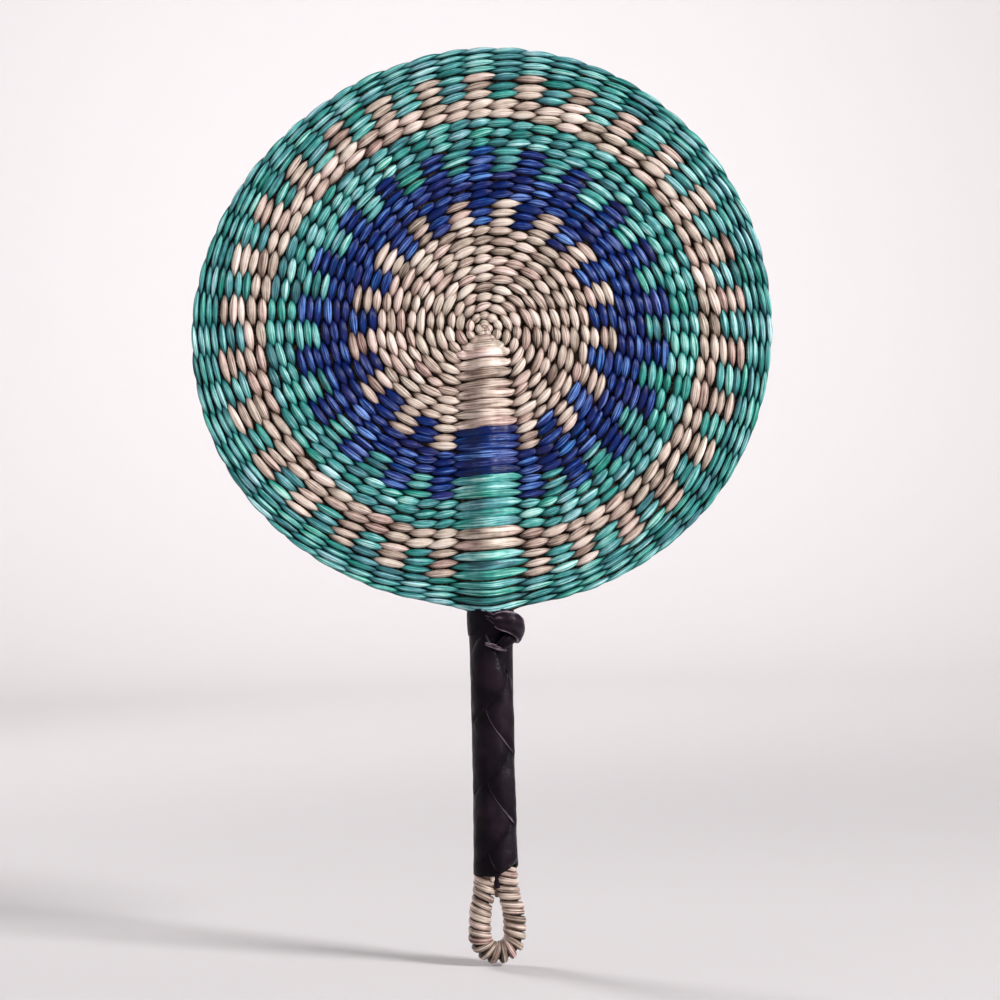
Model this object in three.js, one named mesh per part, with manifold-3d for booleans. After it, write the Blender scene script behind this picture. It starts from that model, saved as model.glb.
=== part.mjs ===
// A round hand fan of twined straw on a leather-covered handle that ends in a bound hanging loop.
// Millimetres. +Z runs up the handle, the front of the fan faces -Y, and the origin lies on the
// handle's axis at the middle of the grip. Angles round the disc run clockwise from straight up as
// the front is seen, and angles round the handle run from the front towards +X.
import * as THREE from "three";
import { mergeVertices } from "three/addons/utils/BufferGeometryUtils.js";
import Module from "manifold-3d";

// Clearances
const SEAT_GAP = 0.3; // between two pieces that lie on each other
const BINDING_GAP = 0.5; // between neighbouring turns of the loop's binding

// Weft, from the centre outwards: rounds in each zone, the share of the disc's radius that it takes,
// and the dyes of the strand that lies in front of the spokes and of the one behind. What is left of
// the radius is the closing round, which lies across the spokes' ends.
const DISC_RADIUS = 125.7;
const ZONES = [
  { name: "centre", rounds: 11, share: 0.368, front: "natural", back: "natural" },
  { name: "inner_teeth", rounds: 3, share: 0.097, front: "blue", back: "natural" },
  { name: "blue_band", rounds: 3, share: 0.094, front: "blue", back: "blue" },
  { name: "middle_teeth", rounds: 3, share: 0.088, front: "teal", back: "blue" },
  { name: "teal_band", rounds: 3, share: 0.1, front: "teal", back: "teal" },
  { name: "natural_ring", rounds: 2, share: 0.072, front: "natural", back: "natural" },
  { name: "outer_teeth", rounds: 3, share: 0.091, front: "teal", back: "natural" },
  { name: "rim_band", rounds: 3, share: 0.068, front: "teal", back: "teal" },
];
const EYE_RADIUS = 1.6; // the hole that the first round leaves at the centre
const STRAND_CREST = 2.7; // how far a round stands off the spokes
const STRAND_VALLEY = 1.1; // and what is left of that between two rounds
const RIM_ROUND_CREST = 2.2; // how far the closing round stands off
const RIM_EDGE = 0.9;

// The hand-woven outline: how far the rim departs from a true circle, as waves round the disc
const OUTLINE_WAVES = [
  { lobes: 2, cosine: -2.34, sine: 1.11 },
  { lobes: 3, cosine: 0.8, sine: 0.96 },
];
const COLLAR_DROP = 3.4; // the last rounds are drawn down along the handle
const COLLAR_HALF_WIDTH = 9;
const COLLAR_FADE = 8; // how sharply the drop fades from the rim to the centre

// Spokes
const SPOKE_WIDTH = 2.3;
const SPOKE_THICKNESS = 3;
const FIRST_SPOKES = 7;
const HUB_RADIUS = 5; // where the first spokes part
const STEM_ROOT = 3.2; // below the disc's centre, where they leave the handle's core
const HAIRPIN_SETS = [
  { zone: "centre", round: 3, count: 2 },
  { zone: "centre", round: 5, count: 2 },
  { zone: "centre", round: 7, count: 4 },
  { zone: "centre", round: 10, count: 4 },
  { zone: "blue_band", round: 0, count: 5 },
  { zone: "teal_band", round: 0, count: 8 },
];

// The straw bundle that is the handle's core: round in the grip, flatter and narrower towards its tip
const CORE_RADIUS = 8;
const CORE_RUN = 15; // how fast its depth swells from the tip
const FLOAT_SPREAD = 8.4; // how far past the core the strands float before they twist again
const FLOAT_TIP_HALF = 10; // half the width of that float at the tip
const FLOAT_RUN = 60; // how fast it widens
const FLOAT_MOST = 0.9; // the most of a round's radius that half a float takes

// Leather
const GRIP_LENGTH = 114;
const COVER_THICKNESS = 1.3;
const COVER_WAIST = 0.6; // how much slimmer the cover is at mid-grip
const TONGUE_PITCH = 31.5; // a pair of tongues of the cover's two edges, laced down the front
const TONGUE_START = 27.3; // from the cover's upper edge to the first of the seam's turns at the right
const TONGUE_TIP = -14; // degrees: the seam's leftmost turn
const TONGUE_NOTCH = 44; // and its rightmost
const TONGUE_FALL = 0.435; // share of a pair's length over which the seam runs to the left
const SEAM_WIDTH = 0.7;
const SEAM_CLEAR = 60; // degrees: the sheet is plain from here round the back
const THONG_HEIGHT = 10;
const THONG_THICKNESS = 0.9;
const KNOT_ANGLE = 45; // degrees
const KNOT_DROP = 7; // below the cover's upper edge
const KNOT_HALF_DEPTH = 3.2;
const KNOT_HALF_WIDTH = 4.6;
const KNOT_HALF_HEIGHT = 6.2;
const TAIL_FROM = 38; // degrees
const TAIL_TO = -12;
const TAIL_RISE = 3.6;
const TAIL_WIDTH = 2.6;
const TAIL_THICKNESS = 1;

// Hanging loop
const LOOP_DROP = 35.3; // from the cover's lower edge to the lowest point of the loop's centre line
const LOOP_HALF_WIDTH = 7.7; // of the centre line
const LOOP_ARM_HALF = 4.6; // half the distance between the arms inside the leather
const LOOP_FLARE = 10; // how far below the leather the arms part
const LOOP_ARM_DEPTH = 9; // how far the arms run up into the cover
const LOOP_CORE_RADIUS = 3;
const BINDING_THICKNESS = 1.5;
const BINDING_DROP = 2.4; // where its first turn starts, below the leather
const BINDING_TURNS = 23;

// Facets and steps
const FLOAT_STATIONS = [-1, -0.75, -0.5, -0.25, 0, 0.25, 0.5, 0.75, 1]; // shares of a float's half width
const REST_STATIONS = 24; // steps round the rest of the disc
const CORE_SIDES = 12;
const ROUND_SIDES = 20;
const COVER_STEPS = 9;
const SEAM_STEPS = 3;
const KNOT_SIDES = 10;
const TAIL_STEPS = 4;
const LOOP_STEPS = 26;
const LOOP_SIDES = 8;
const TURN_STEPS = 8;
const SWELL_RUNS = 3; // runs from the core's tip over which its sections are close together
const SETTLE_PASSES = 12; // until a float's angle has settled
const BEND_STEP = 0.004; // share of the loop's length over which its bend is read
const LATER_TURN = 0.75; // of a turn: how far along the binding a neighbour is looked for

const radians = THREE.MathUtils.degToRad;
const { clamp, lerp } = THREE.MathUtils;
const wasm = await Module();
wasm.setup();

function finish(color, roughness) {
  return new THREE.MeshStandardMaterial({ color, roughness, metalness: 0 });
}

const DYES = {
  natural: finish(0xcbb296, 0.62),
  teal: finish(0x3fa58f, 0.6),
  blue: finish(0x1c2b86, 0.6),
};
const SPOKE_STRAW = finish(0xb39a74, 0.7);
const LEATHER = finish(0x2a1a22, 0.45);

// Sizes and places that follow from those above
const zones = [];
for (const zone of ZONES) {
  const inner = zones.length ? zones[zones.length - 1].outer : 0;
  const width = zone.share * DISC_RADIUS;
  zones.push({ ...zone, inner, outer: inner + width, pitch: width / zone.rounds });
}
const BAND_RADIUS = zones[zones.length - 1].outer;
const FLOAT_HALF = CORE_RADIUS + FLOAT_SPREAD;
// The cover's and the rim's flats lie nearer to the axis than their corners
const COVER_INNER = (CORE_RADIUS + SEAT_GAP) / Math.cos(Math.PI / CORE_SIDES);
const COVER_OUTER = COVER_INNER + COVER_THICKNESS;
const COVER_TOP = GRIP_LENGTH / 2;
const COVER_BOTTOM = -GRIP_LENGTH / 2;
const CORE_END = COVER_BOTTOM + LOOP_ARM_DEPTH + SEAT_GAP;
const SPOKE_END = (BAND_RADIUS - SEAT_GAP / 2) * Math.cos(Math.PI / REST_STATIONS);
const DISC_Z = COVER_TOP + SEAT_GAP + discRadius(DISC_RADIUS, Math.PI);

// The disc's shape

// What a nominal radius comes to at an angle, on the hand-woven outline
function discRadius(radius, angle) {
  const wave = ({ lobes, cosine, sine }) => cosine * Math.cos(lobes * angle) + sine * Math.sin(lobes * angle);
  const departure = OUTLINE_WAVES.reduce((sum, each) => sum + wave(each), 0);
  const across = (radius * Math.sin(angle)) / COLLAR_HALF_WIDTH;
  const collar = Math.cos(angle) < 0 ? COLLAR_DROP * Math.exp(-across * across) : 0;
  const share = radius / DISC_RADIUS;
  return radius + departure * share + collar * share ** COLLAR_FADE;
}

function discPoint(radius, angle, y) {
  const r = discRadius(radius, angle);
  return new THREE.Vector3(r * Math.sin(angle), y, DISC_Z + r * Math.cos(angle));
}

// Half the width over which the strands float across the core, at a depth below the disc's centre
function floatHalf(depth) {
  return lerp(FLOAT_HALF, FLOAT_TIP_HALF, Math.exp(-Math.max(depth, 0) / FLOAT_RUN));
}

// Half the core's depth from front to back, at a depth below the disc's centre
function coreHalf(depth) {
  return CORE_RADIUS * (1 - Math.exp(-Math.max(depth, 0) / CORE_RUN));
}

// The height of a strand drawn taut over the core: round on top, then straight down to the spokes
function tautHeight(x, depth) {
  const slimness = CORE_RADIUS / FLOAT_HALF;
  const share = Math.abs(x) / floatHalf(depth);
  if (share > 1) return 0;
  const lifted = share < slimness ** 2;
  const height = lifted ? Math.sqrt(1 - (share / slimness) ** 2) : (1 - share) / Math.sqrt(1 - slimness ** 2);
  return coreHalf(depth) * height;
}

// How far the weft's inner face lies from the middle plane
function weftSeat(radius, angle) {
  const height = tautHeight(radius * Math.sin(angle), -radius * Math.cos(angle));
  return Math.max(SPOKE_THICKNESS / 2, height) + SEAT_GAP;
}

// The angle at a radius of a place on the float, as a share of the float's half width
function floatAngle(share, radius) {
  const widest = FLOAT_MOST * radius;
  let x = 0;
  for (let pass = 0; pass < SETTLE_PASSES; pass++) {
    x = clamp(share * floatHalf(Math.sqrt(radius * radius - x * x)), -widest, widest);
  }
  return Math.PI - Math.asin(x / radius);
}

// Angles round a round of weft: across the handle first, then clockwise round the rest
function stationAngles(radius, count) {
  const across = FLOAT_STATIONS.map((share) => floatAngle(-share, radius));
  const from = across[across.length - 1];
  const turn = 2 * Math.PI - (from - across[0]);
  const rest = Array.from({ length: count - 1 }, (_, i) => from + (turn * (i + 1)) / count);
  return [...across, ...rest];
}

// Solids

// Triangles of a flat end, wound the way its ring runs
function capTriangles(ring) {
  const normal = new THREE.Vector3();
  ring.forEach((p, i) => {
    const next = ring[(i + 1) % ring.length];
    normal.add(p.clone().sub(ring[0]).cross(next.clone().sub(ring[0])));
  });
  const u = ring[1].clone().sub(ring[0]).normalize();
  const v = normal.normalize().clone().cross(u);
  const flat = ring.map((p) => new THREE.Vector2(p.dot(u), p.dot(v)));
  return THREE.ShapeUtils.triangulateShape(flat, []).map(([a, b, c]) => {
    const area = flat[b].clone().sub(flat[a]).cross(flat[c].clone().sub(flat[a]));
    return area > 0 ? [a, b, c] : [a, c, b];
  });
}

// A closed solid through rings of equally many points: a loop, or a run with flat ends
function loft(rings, looped = false) {
  const sides = rings[0].length;
  const at = (ring, i) => (ring % rings.length) * sides + (i % sides);
  const triangles = [];
  for (let ring = 0; ring < rings.length - (looped ? 0 : 1); ring++) {
    for (let i = 0; i < sides; i++) {
      triangles.push([at(ring, i), at(ring, i + 1), at(ring + 1, i + 1)]);
      triangles.push([at(ring, i), at(ring + 1, i + 1), at(ring + 1, i)]);
    }
  }
  if (!looped) {
    const last = rings.length - 1;
    capTriangles(rings[0]).forEach(([a, b, c]) => triangles.push([a, c, b]));
    capTriangles(rings[last]).forEach((cap) => triangles.push(cap.map((i) => at(last, i))));
  }
  const points = rings.flat();
  const wedge = ([a, b, c]) => points[a].dot(points[b].clone().cross(points[c]));
  const volume = triangles.reduce((sum, triangle) => sum + wedge(triangle), 0);
  const outward = volume > 0 ? triangles : triangles.map(([a, b, c]) => [a, c, b]);
  return new THREE.BufferGeometry().setFromPoints(points).setIndex(outward.flat());
}

// A solid of revolution about Z, from a closed or axis-to-axis profile of [radius, height]
function revolve(profile, sides) {
  const geometry = new THREE.LatheGeometry(profile.map(([r, z]) => new THREE.Vector2(r, z)), sides);
  return geometry.rotateX(Math.PI / 2);
}

function toSolid(geometry) {
  const bare = geometry.clone();
  bare.deleteAttribute("normal");
  bare.deleteAttribute("uv");
  const merged = mergeVertices(bare, 1e-4);
  const vertProperties = new Float32Array(merged.attributes.position.array);
  const triVerts = new Uint32Array(merged.index.array);
  return new wasm.Manifold(new wasm.Mesh({ numProp: 3, vertProperties, triVerts }));
}

function toGeometry(solid) {
  const mesh = solid.getMesh();
  return new THREE.BufferGeometry()
    .setAttribute("position", new THREE.BufferAttribute(mesh.vertProperties, 3))
    .setIndex(new THREE.BufferAttribute(mesh.triVerts, 1));
}

const fan = new THREE.Group();

function add(name, geometry, material) {
  const mesh = new THREE.Mesh(geometry, material);
  mesh.name = name;
  fan.add(mesh);
}

// Weft: in each zone one strand lies in front of the spokes and one behind, with a ridge for every round

// A ring round the disc from a profile of radius, distance off the seat, and side: -1 front, 1 back
function ringRound(profile) {
  const inmost = profile.every(({ radius }) => radius < zones[0].outer);
  const count = inmost ? REST_STATIONS / 2 : REST_STATIONS;
  const angles = profile.map(({ radius }) => stationAngles(radius, count));
  const stations = angles[0].map((_, station) =>
    profile.map(({ radius, off, side }, i) => {
      const angle = angles[i][station];
      return discPoint(radius, angle, side * (weftSeat(radius, angle) + off));
    }),
  );
  return loft(stations, true);
}

// Radii between the rounds of a zone, drawn in at both ends to clear its neighbours
function roundBounds(zone) {
  const bounds = Array.from({ length: zone.rounds + 1 }, (_, i) => zone.inner + i * zone.pitch);
  bounds[0] = Math.max(zone.inner, EYE_RADIUS) + SEAT_GAP / 2;
  bounds[zone.rounds] = zone.outer - SEAT_GAP / 2;
  return bounds;
}

// Rounds whose bounds the inner face follows too, because the core still swells there
function seatBounds(zone) {
  const bounds = roundBounds(zone);
  return bounds.filter((r, i) => i === 0 || i === zone.rounds || (i % 2 === 0 && r < SWELL_RUNS * CORE_RUN));
}

function weftRing(zone, side) {
  const bounds = roundBounds(zone);
  const profile = seatBounds(zone).map((radius) => ({ radius, off: 0, side })).reverse();
  bounds.forEach((radius, i) => {
    profile.push({ radius, off: STRAND_VALLEY, side });
    if (i < zone.rounds) profile.push({ radius: (radius + bounds[i + 1]) / 2, off: STRAND_CREST, side });
  });
  return ringRound(profile);
}

// The handle's core

// An elliptical section of the core at a depth below the disc's centre
function coreSection(depth, clearance) {
  const half = (floatHalf(depth) * CORE_RADIUS) / FLOAT_HALF + clearance;
  const deep = coreHalf(depth) + clearance;
  return Array.from({ length: CORE_SIDES }, (_, i) => {
    const around = (2 * Math.PI * i) / CORE_SIDES;
    const x = half * Math.cos(around);
    return discPoint(Math.hypot(x, depth), Math.atan2(x, -depth), deep * Math.sin(around));
  });
}

function gripSection(radius, z) {
  return Array.from({ length: CORE_SIDES }, (_, i) => {
    const around = (2 * Math.PI * i) / CORE_SIDES;
    return new THREE.Vector3(radius * Math.cos(around), radius * Math.sin(around), z);
  });
}

function rimRound() {
  const inner = BAND_RADIUS + SEAT_GAP / 2;
  const half = [
    { radius: inner, off: -SEAT_GAP },
    { radius: inner, off: STRAND_VALLEY },
    { radius: (BAND_RADIUS + DISC_RADIUS) / 2, off: RIM_ROUND_CREST },
    { radius: DISC_RADIUS, off: RIM_EDGE },
  ];
  const front = half.map((p) => ({ ...p, side: -1 }));
  const back = half.map((p) => ({ ...p, side: 1 })).reverse();
  const passage = [
    coreSection(zones[zones.length - 1].inner, SEAT_GAP),
    coreSection(BAND_RADIUS, SEAT_GAP),
    gripSection(COVER_INNER, COVER_TOP - SEAT_GAP),
  ];
  return toGeometry(toSolid(ringRound([...front, ...back])).subtract(toSolid(loft(passage))));
}

for (const zone of zones) {
  add(`weft_front_${zone.name}`, weftRing(zone, -1), DYES[zone.front]);
  add(`weft_back_${zone.name}`, weftRing(zone, 1), DYES[zone.back]);
}
add("rim_round", rimRound(), DYES.teal);

// Spokes: each set of hairpins is laid in between those already there, which spread to make room

// The angle of one of some spokes, evenly spaced over the part of a round that isn't the handle
function spokeAngle(place, count, radius) {
  const from = floatAngle(-1, radius);
  const turn = 2 * Math.PI - 2 * (from - Math.PI);
  return from + (turn * (place + 1)) / (count + 1);
}

// The spokes with a set of hairpins laid in at even distances, two legs side by side
function withHairpins(order, hairpins) {
  const laid = [...order];
  hairpins.forEach((legs, i) => {
    const gap = Math.round(((i + 0.5) * order.length) / hairpins.length);
    laid.splice(gap + 2 * i, 0, ...legs);
  });
  return laid;
}

function newSpoke() {
  return { points: [] };
}

// Walks every spoke from where it starts to the rim, and returns the first spokes and the hairpins
function laySpokes() {
  const sets = HAIRPIN_SETS.map((set) => {
    const zone = zones.find(({ name }) => name === set.zone);
    return { ...set, from: zone.inner + set.round * zone.pitch };
  });
  const first = Array.from({ length: FIRST_SPOKES }, newSpoke);
  const hairpins = [];
  let order = first;
  let from = HUB_RADIUS;
  [...sets, null].forEach((set) => {
    const radii = set ? [from] : [from, SPOKE_END];
    order.forEach((spoke, place) => {
      radii.forEach((r) => spoke.points.push(discPoint(r, spokeAngle(place, order.length, r), 0)));
    });
    if (!set) return;
    const laid = Array.from({ length: set.count }, () => [newSpoke(), newSpoke()]);
    hairpins.push(...laid);
    order = withHairpins(order, laid);
    from = set.from;
  });
  return { first, hairpins };
}

// A flat straw bundle along a path in the disc's middle plane
function spokeSolid(path) {
  const across = new THREE.Vector3(0, 1, 0);
  const rings = path.map((p, i) => {
    const before = path[Math.max(i - 1, 0)];
    const after = path[Math.min(i + 1, path.length - 1)];
    const side = after.clone().sub(before).normalize().cross(across).multiplyScalar(SPOKE_WIDTH / 2);
    const deep = across.clone().multiplyScalar(SPOKE_THICKNESS / 2);
    const corners = [
      [1, 1],
      [-1, 1],
      [-1, -1],
      [1, -1],
    ];
    return corners.map(([s, d]) => p.clone().addScaledVector(side, s).addScaledVector(deep, d));
  });
  return loft(rings);
}

// The fold of a hairpin: a half round from one leg's start to the other's, bulging towards the centre
function fold(start, end) {
  const middle = start.clone().lerp(end, 0.5);
  const half = start.clone().sub(middle);
  const inward = new THREE.Vector3(0, 0, DISC_Z).sub(middle).normalize();
  const reach = half.length() / 2;
  return [Math.PI / 4, Math.PI / 2, (3 * Math.PI) / 4].map((turn) =>
    middle.clone().addScaledVector(half, Math.cos(turn)).addScaledVector(inward, reach * Math.sin(turn)),
  );
}

const { first, hairpins } = laySpokes();

// The bundle's stems fan out at its tip into the first spokes, so core and first spokes are one piece
function handleCore() {
  const depths = zones.flatMap((zone, i) => seatBounds(zone).slice(i ? 1 : 0));
  const bundle = loft([...depths.map((depth) => coreSection(depth, 0)), gripSection(CORE_RADIUS, CORE_END)]);
  const root = discPoint(STEM_ROOT, Math.PI, 0);
  const stems = first.map(({ points }) => spokeSolid([root, ...points]));
  return toGeometry([bundle, ...stems].map(toSolid).reduce((whole, stem) => whole.add(stem)));
}

add("handle_core", handleCore(), SPOKE_STRAW);
hairpins.forEach(([one, other], i) => {
  const bend = fold(one.points[0], other.points[0]);
  const path = [...[...one.points].reverse(), ...bend, ...other.points];
  add(`spoke_hairpin_${String(i + 1).padStart(2, "0")}`, spokeSolid(path), SPOKE_STRAW);
});

// Leather

// A point round the handle
function gripPoint(radius, angle, z) {
  return new THREE.Vector3(radius * Math.sin(angle), -radius * Math.cos(angle), z);
}

// The seam's angle at a drop below the cover's upper edge: a zigzag between the tongues' tips and notches
function seamAngle(drop) {
  const share = ((drop - TONGUE_START) / TONGUE_PITCH + Math.ceil(TONGUE_START / TONGUE_PITCH)) % 1;
  const falling = share < TONGUE_FALL;
  const swing = falling ? share / TONGUE_FALL : (1 - share) / (1 - TONGUE_FALL);
  return radians(lerp(TONGUE_NOTCH, TONGUE_TIP, swing));
}

// Drops at which the seam turns, and halfway between its turns
function seamDrops() {
  const shares = [0, TONGUE_FALL / 2, TONGUE_FALL, (1 + TONGUE_FALL) / 2];
  const from = TONGUE_START - TONGUE_PITCH * Math.ceil(TONGUE_START / TONGUE_PITCH);
  const pairs = Math.ceil((GRIP_LENGTH - from) / TONGUE_PITCH);
  const pairDrops = (_, i) => shares.map((share) => from + (i + share) * TONGUE_PITCH);
  const turns = Array.from({ length: pairs }, pairDrops);
  const clear = turns.flat().filter((drop) => drop > SEAM_WIDTH && drop < GRIP_LENGTH - SEAM_WIDTH);
  return [0, ...clear, GRIP_LENGTH];
}

// The cover is one sheet rolled round the core, whose two edges meet in a zigzag of laced tongues
function leatherCover() {
  const sections = seamDrops().map((drop) => {
    const seam = seamAngle(drop);
    const open = SEAM_WIDTH / COVER_OUTER / 2;
    const from = radians(SEAM_CLEAR);
    const to = 2 * Math.PI - radians(SEAM_CLEAR / 2);
    const angles = [
      ...steps(seam + open, from, SEAM_STEPS).slice(0, -1),
      ...steps(from, to, COVER_STEPS),
      ...steps(to, seam - open + 2 * Math.PI, SEAM_STEPS).slice(1),
    ];
    const height = Math.abs(COVER_TOP - drop) / COVER_TOP;
    const outer = COVER_OUTER - COVER_WAIST * (1 - height ** 2);
    const z = COVER_TOP - drop;
    const outside = angles.map((angle) => gripPoint(outer, angle, z));
    const inside = angles.map((angle) => gripPoint(COVER_INNER, angle, z));
    return [...outside, ...inside.reverse()];
  });
  return loft(sections);
}

// Even steps from one value to another, both included
function steps(from, to, count) {
  return Array.from({ length: count + 1 }, (_, i) => lerp(from, to, i / count));
}

// A flat strap drawn round the top of the cover
function topThong() {
  const inner = COVER_OUTER + SEAT_GAP;
  const outer = inner + THONG_THICKNESS;
  const soft = THONG_THICKNESS / 2;
  const top = COVER_TOP;
  const bottom = COVER_TOP - THONG_HEIGHT;
  return revolve(
    [
      [inner, bottom],
      [outer - soft, bottom],
      [outer, bottom + soft],
      [outer, top - soft],
      [outer - soft, top],
      [inner, top],
      [inner, bottom],
    ],
    ROUND_SIDES,
  );
}

// The knot in the strap: two plump lobes with a crease between them
function thongKnot() {
  const [w, h] = [KNOT_HALF_WIDTH, KNOT_HALF_HEIGHT];
  const lobes = [
    [0, -h],
    [0.72 * w, -0.76 * h],
    [w, -0.32 * h],
    [0.84 * w, 0.04 * h],
    [w, 0.36 * h],
    [0.72 * w, 0.78 * h],
    [0, h],
  ];
  const centre = COVER_OUTER + SEAT_GAP + THONG_THICKNESS + SEAT_GAP + KNOT_HALF_DEPTH;
  const angle = radians(KNOT_ANGLE);
  const place = gripPoint(centre, angle, COVER_TOP - KNOT_DROP);
  return revolve(lobes, KNOT_SIDES)
    .scale(1, KNOT_HALF_DEPTH / KNOT_HALF_WIDTH, 1)
    .rotateZ(angle)
    .translate(place.x, place.y, place.z);
}

// The strap's free end, which lies on the cover below the knot
function thongTail() {
  const inner = COVER_OUTER + SEAT_GAP;
  const low = COVER_TOP - THONG_HEIGHT - SEAT_GAP - TAIL_WIDTH / 2 - TAIL_RISE;
  const sections = Array.from({ length: TAIL_STEPS + 1 }, (_, i) => {
    const share = i / TAIL_STEPS;
    const angle = radians(lerp(TAIL_FROM, TAIL_TO, share));
    const z = low + TAIL_RISE * share;
    return [
      gripPoint(inner, angle, z - TAIL_WIDTH / 2),
      gripPoint(inner + TAIL_THICKNESS, angle, z - TAIL_WIDTH / 2),
      gripPoint(inner + TAIL_THICKNESS, angle, z + TAIL_WIDTH / 2),
      gripPoint(inner, angle, z + TAIL_WIDTH / 2),
    ];
  });
  return loft(sections);
}

add("leather_cover", leatherCover(), LEATHER);
add("top_thong", topThong(), LEATHER);
add("thong_knot", thongKnot(), LEATHER);
add("thong_tail", thongTail(), LEATHER);

// Hanging loop: a bent straw bundle, bound all along with straw

// The loop's centre line in x and height: an arm, a half round and an arm
function loopCurve() {
  const low = COVER_BOTTOM - LOOP_DROP + LOOP_HALF_WIDTH;
  const arm = (side, heights) => {
    const widths = [LOOP_ARM_HALF, LOOP_ARM_HALF, LOOP_HALF_WIDTH, LOOP_HALF_WIDTH];
    return widths.map((width, i) => new THREE.Vector2(side * width, heights[i]));
  };
  const heights = [COVER_BOTTOM + LOOP_ARM_DEPTH, COVER_BOTTOM, COVER_BOTTOM - LOOP_FLARE, low];
  const line = new THREE.CurvePath();
  line.add(new THREE.CubicBezierCurve(...arm(-1, heights)));
  line.add(new THREE.EllipseCurve(0, low, LOOP_HALF_WIDTH, LOOP_HALF_WIDTH, Math.PI, 2 * Math.PI));
  line.add(new THREE.CubicBezierCurve(...arm(1, heights).reverse()));
  return line;
}

const loopLine = loopCurve();

// The centre line's place and outward side, and how strongly it bends, at a share of its length
function loopFrame(share) {
  const place = loopLine.getPointAt(share);
  const along = loopLine.getTangentAt(share);
  const ahead = loopLine.getTangentAt(Math.min(share + BEND_STEP, 1));
  const behind = loopLine.getTangentAt(Math.max(share - BEND_STEP, 0));
  const bend = behind.cross(ahead) / (2 * BEND_STEP * loopLine.getLength());
  return {
    place: new THREE.Vector3(place.x, 0, place.y),
    outward: new THREE.Vector3(along.y, 0, -along.x),
    bend,
  };
}

function loopCore() {
  const rings = Array.from({ length: LOOP_STEPS + 1 }, (_, step) => {
    const { place, outward } = loopFrame(step / LOOP_STEPS);
    return Array.from({ length: LOOP_SIDES }, (_, i) => {
      const around = (2 * Math.PI * i) / LOOP_SIDES;
      const ring = place.clone().addScaledVector(outward, LOOP_CORE_RADIUS * Math.cos(around));
      ring.y = LOOP_CORE_RADIUS * Math.sin(around);
      return ring;
    });
  });
  return loft(rings);
}

// Rings of the binding: one straw wound on the loop from one end of the leather to the other
function bindingRings() {
  const length = loopLine.getLength();
  const share = (LOOP_ARM_DEPTH + BINDING_DROP) / length;
  const steps = BINDING_TURNS * TURN_STEPS;
  const pitch = (length * (1 - 2 * share)) / BINDING_TURNS;
  const chord = Math.cos(Math.PI / TURN_STEPS);
  const radius = (LOOP_CORE_RADIUS + SEAT_GAP + BINDING_THICKNESS / 2) / chord;
  const section = [
    [0.5, 0],
    [0.2, 1],
    [-0.5, 0.8],
    [-0.5, -0.8],
    [0.2, -1],
  ];
  return Array.from({ length: steps + 1 }, (_, step) => {
    const middle = lerp(share, 1 - share, step / steps);
    const around = (2 * Math.PI * step) / TURN_STEPS;
    return section.map(([off, aside]) => {
      const reach = radius + off * BINDING_THICKNESS;
      const border = loopFrame(middle + (aside * pitch) / 2 / length);
      const stretch = 1 + border.bend * reach * Math.cos(around);
      const half = (pitch - BINDING_GAP / stretch) / 2;
      const { place, outward } = loopFrame(middle + (aside * half) / length);
      const out = outward.multiplyScalar(Math.cos(around)).setY(Math.sin(around));
      return place.addScaledVector(out, reach);
    });
  });
}

// The least distance between points of the binding that are most of a turn or more apart
function leastGap(rings) {
  const apart = Math.round(LATER_TURN * TURN_STEPS);
  let least = Infinity;
  rings.forEach((ring, i) => {
    rings.slice(i + apart).forEach((later) => {
      ring.forEach((p) => later.forEach((q) => (least = Math.min(least, p.distanceTo(q)))));
    });
  });
  return least;
}

const binding = bindingRings();
console.log(`least gap of the loop's binding to itself: ${leastGap(binding).toFixed(2)} mm`);
add("loop_core", loopCore(), SPOKE_STRAW);
add("loop_binding", loft(binding), DYES.natural);

export default fan;
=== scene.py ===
"""A round hand fan of twined straw, with a leather-covered handle and a bound hanging loop.

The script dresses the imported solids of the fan. Sizes are millimetres unless a name says otherwise, and
the scene is in metres. The origin lies on the handle's axis at the middle of the grip, +Z runs up the
handle and the front of the fan faces -Y. Angles round the disc run clockwise from straight up as the
front is seen, and angles round the handle run from the front towards +X.
"""

import logging
import math
from dataclasses import dataclass
from enum import Enum

import bpy
import numpy as np
from mathutils import Matrix, Vector, noise

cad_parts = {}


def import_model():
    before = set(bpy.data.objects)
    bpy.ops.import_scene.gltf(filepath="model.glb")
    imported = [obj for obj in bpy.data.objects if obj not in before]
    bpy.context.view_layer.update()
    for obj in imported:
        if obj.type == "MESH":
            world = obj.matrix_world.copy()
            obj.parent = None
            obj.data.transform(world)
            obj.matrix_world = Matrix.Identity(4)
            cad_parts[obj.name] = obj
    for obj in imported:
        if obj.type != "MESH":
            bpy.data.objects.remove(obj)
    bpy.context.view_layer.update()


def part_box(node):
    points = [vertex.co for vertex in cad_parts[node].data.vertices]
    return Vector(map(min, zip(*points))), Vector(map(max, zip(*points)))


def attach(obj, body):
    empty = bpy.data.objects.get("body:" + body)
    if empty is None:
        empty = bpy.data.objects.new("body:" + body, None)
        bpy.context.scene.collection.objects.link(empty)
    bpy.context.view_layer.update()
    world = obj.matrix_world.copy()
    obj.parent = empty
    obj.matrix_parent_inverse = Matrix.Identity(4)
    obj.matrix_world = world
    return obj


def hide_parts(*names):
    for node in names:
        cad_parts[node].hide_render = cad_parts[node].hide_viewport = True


LOG = logging.getLogger("straw_fan")

MM = 0.001
BODY = "root"
SEAT_GAP = 0.3  # between two pieces that lie on each other
FLOOR_GAP = 0.6  # between the hanging loop and the paper
NOISE_RANGE = {1: 0.3, 2: 0.7}  # what a noise's values mostly lie between, as a map range's inputs


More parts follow.
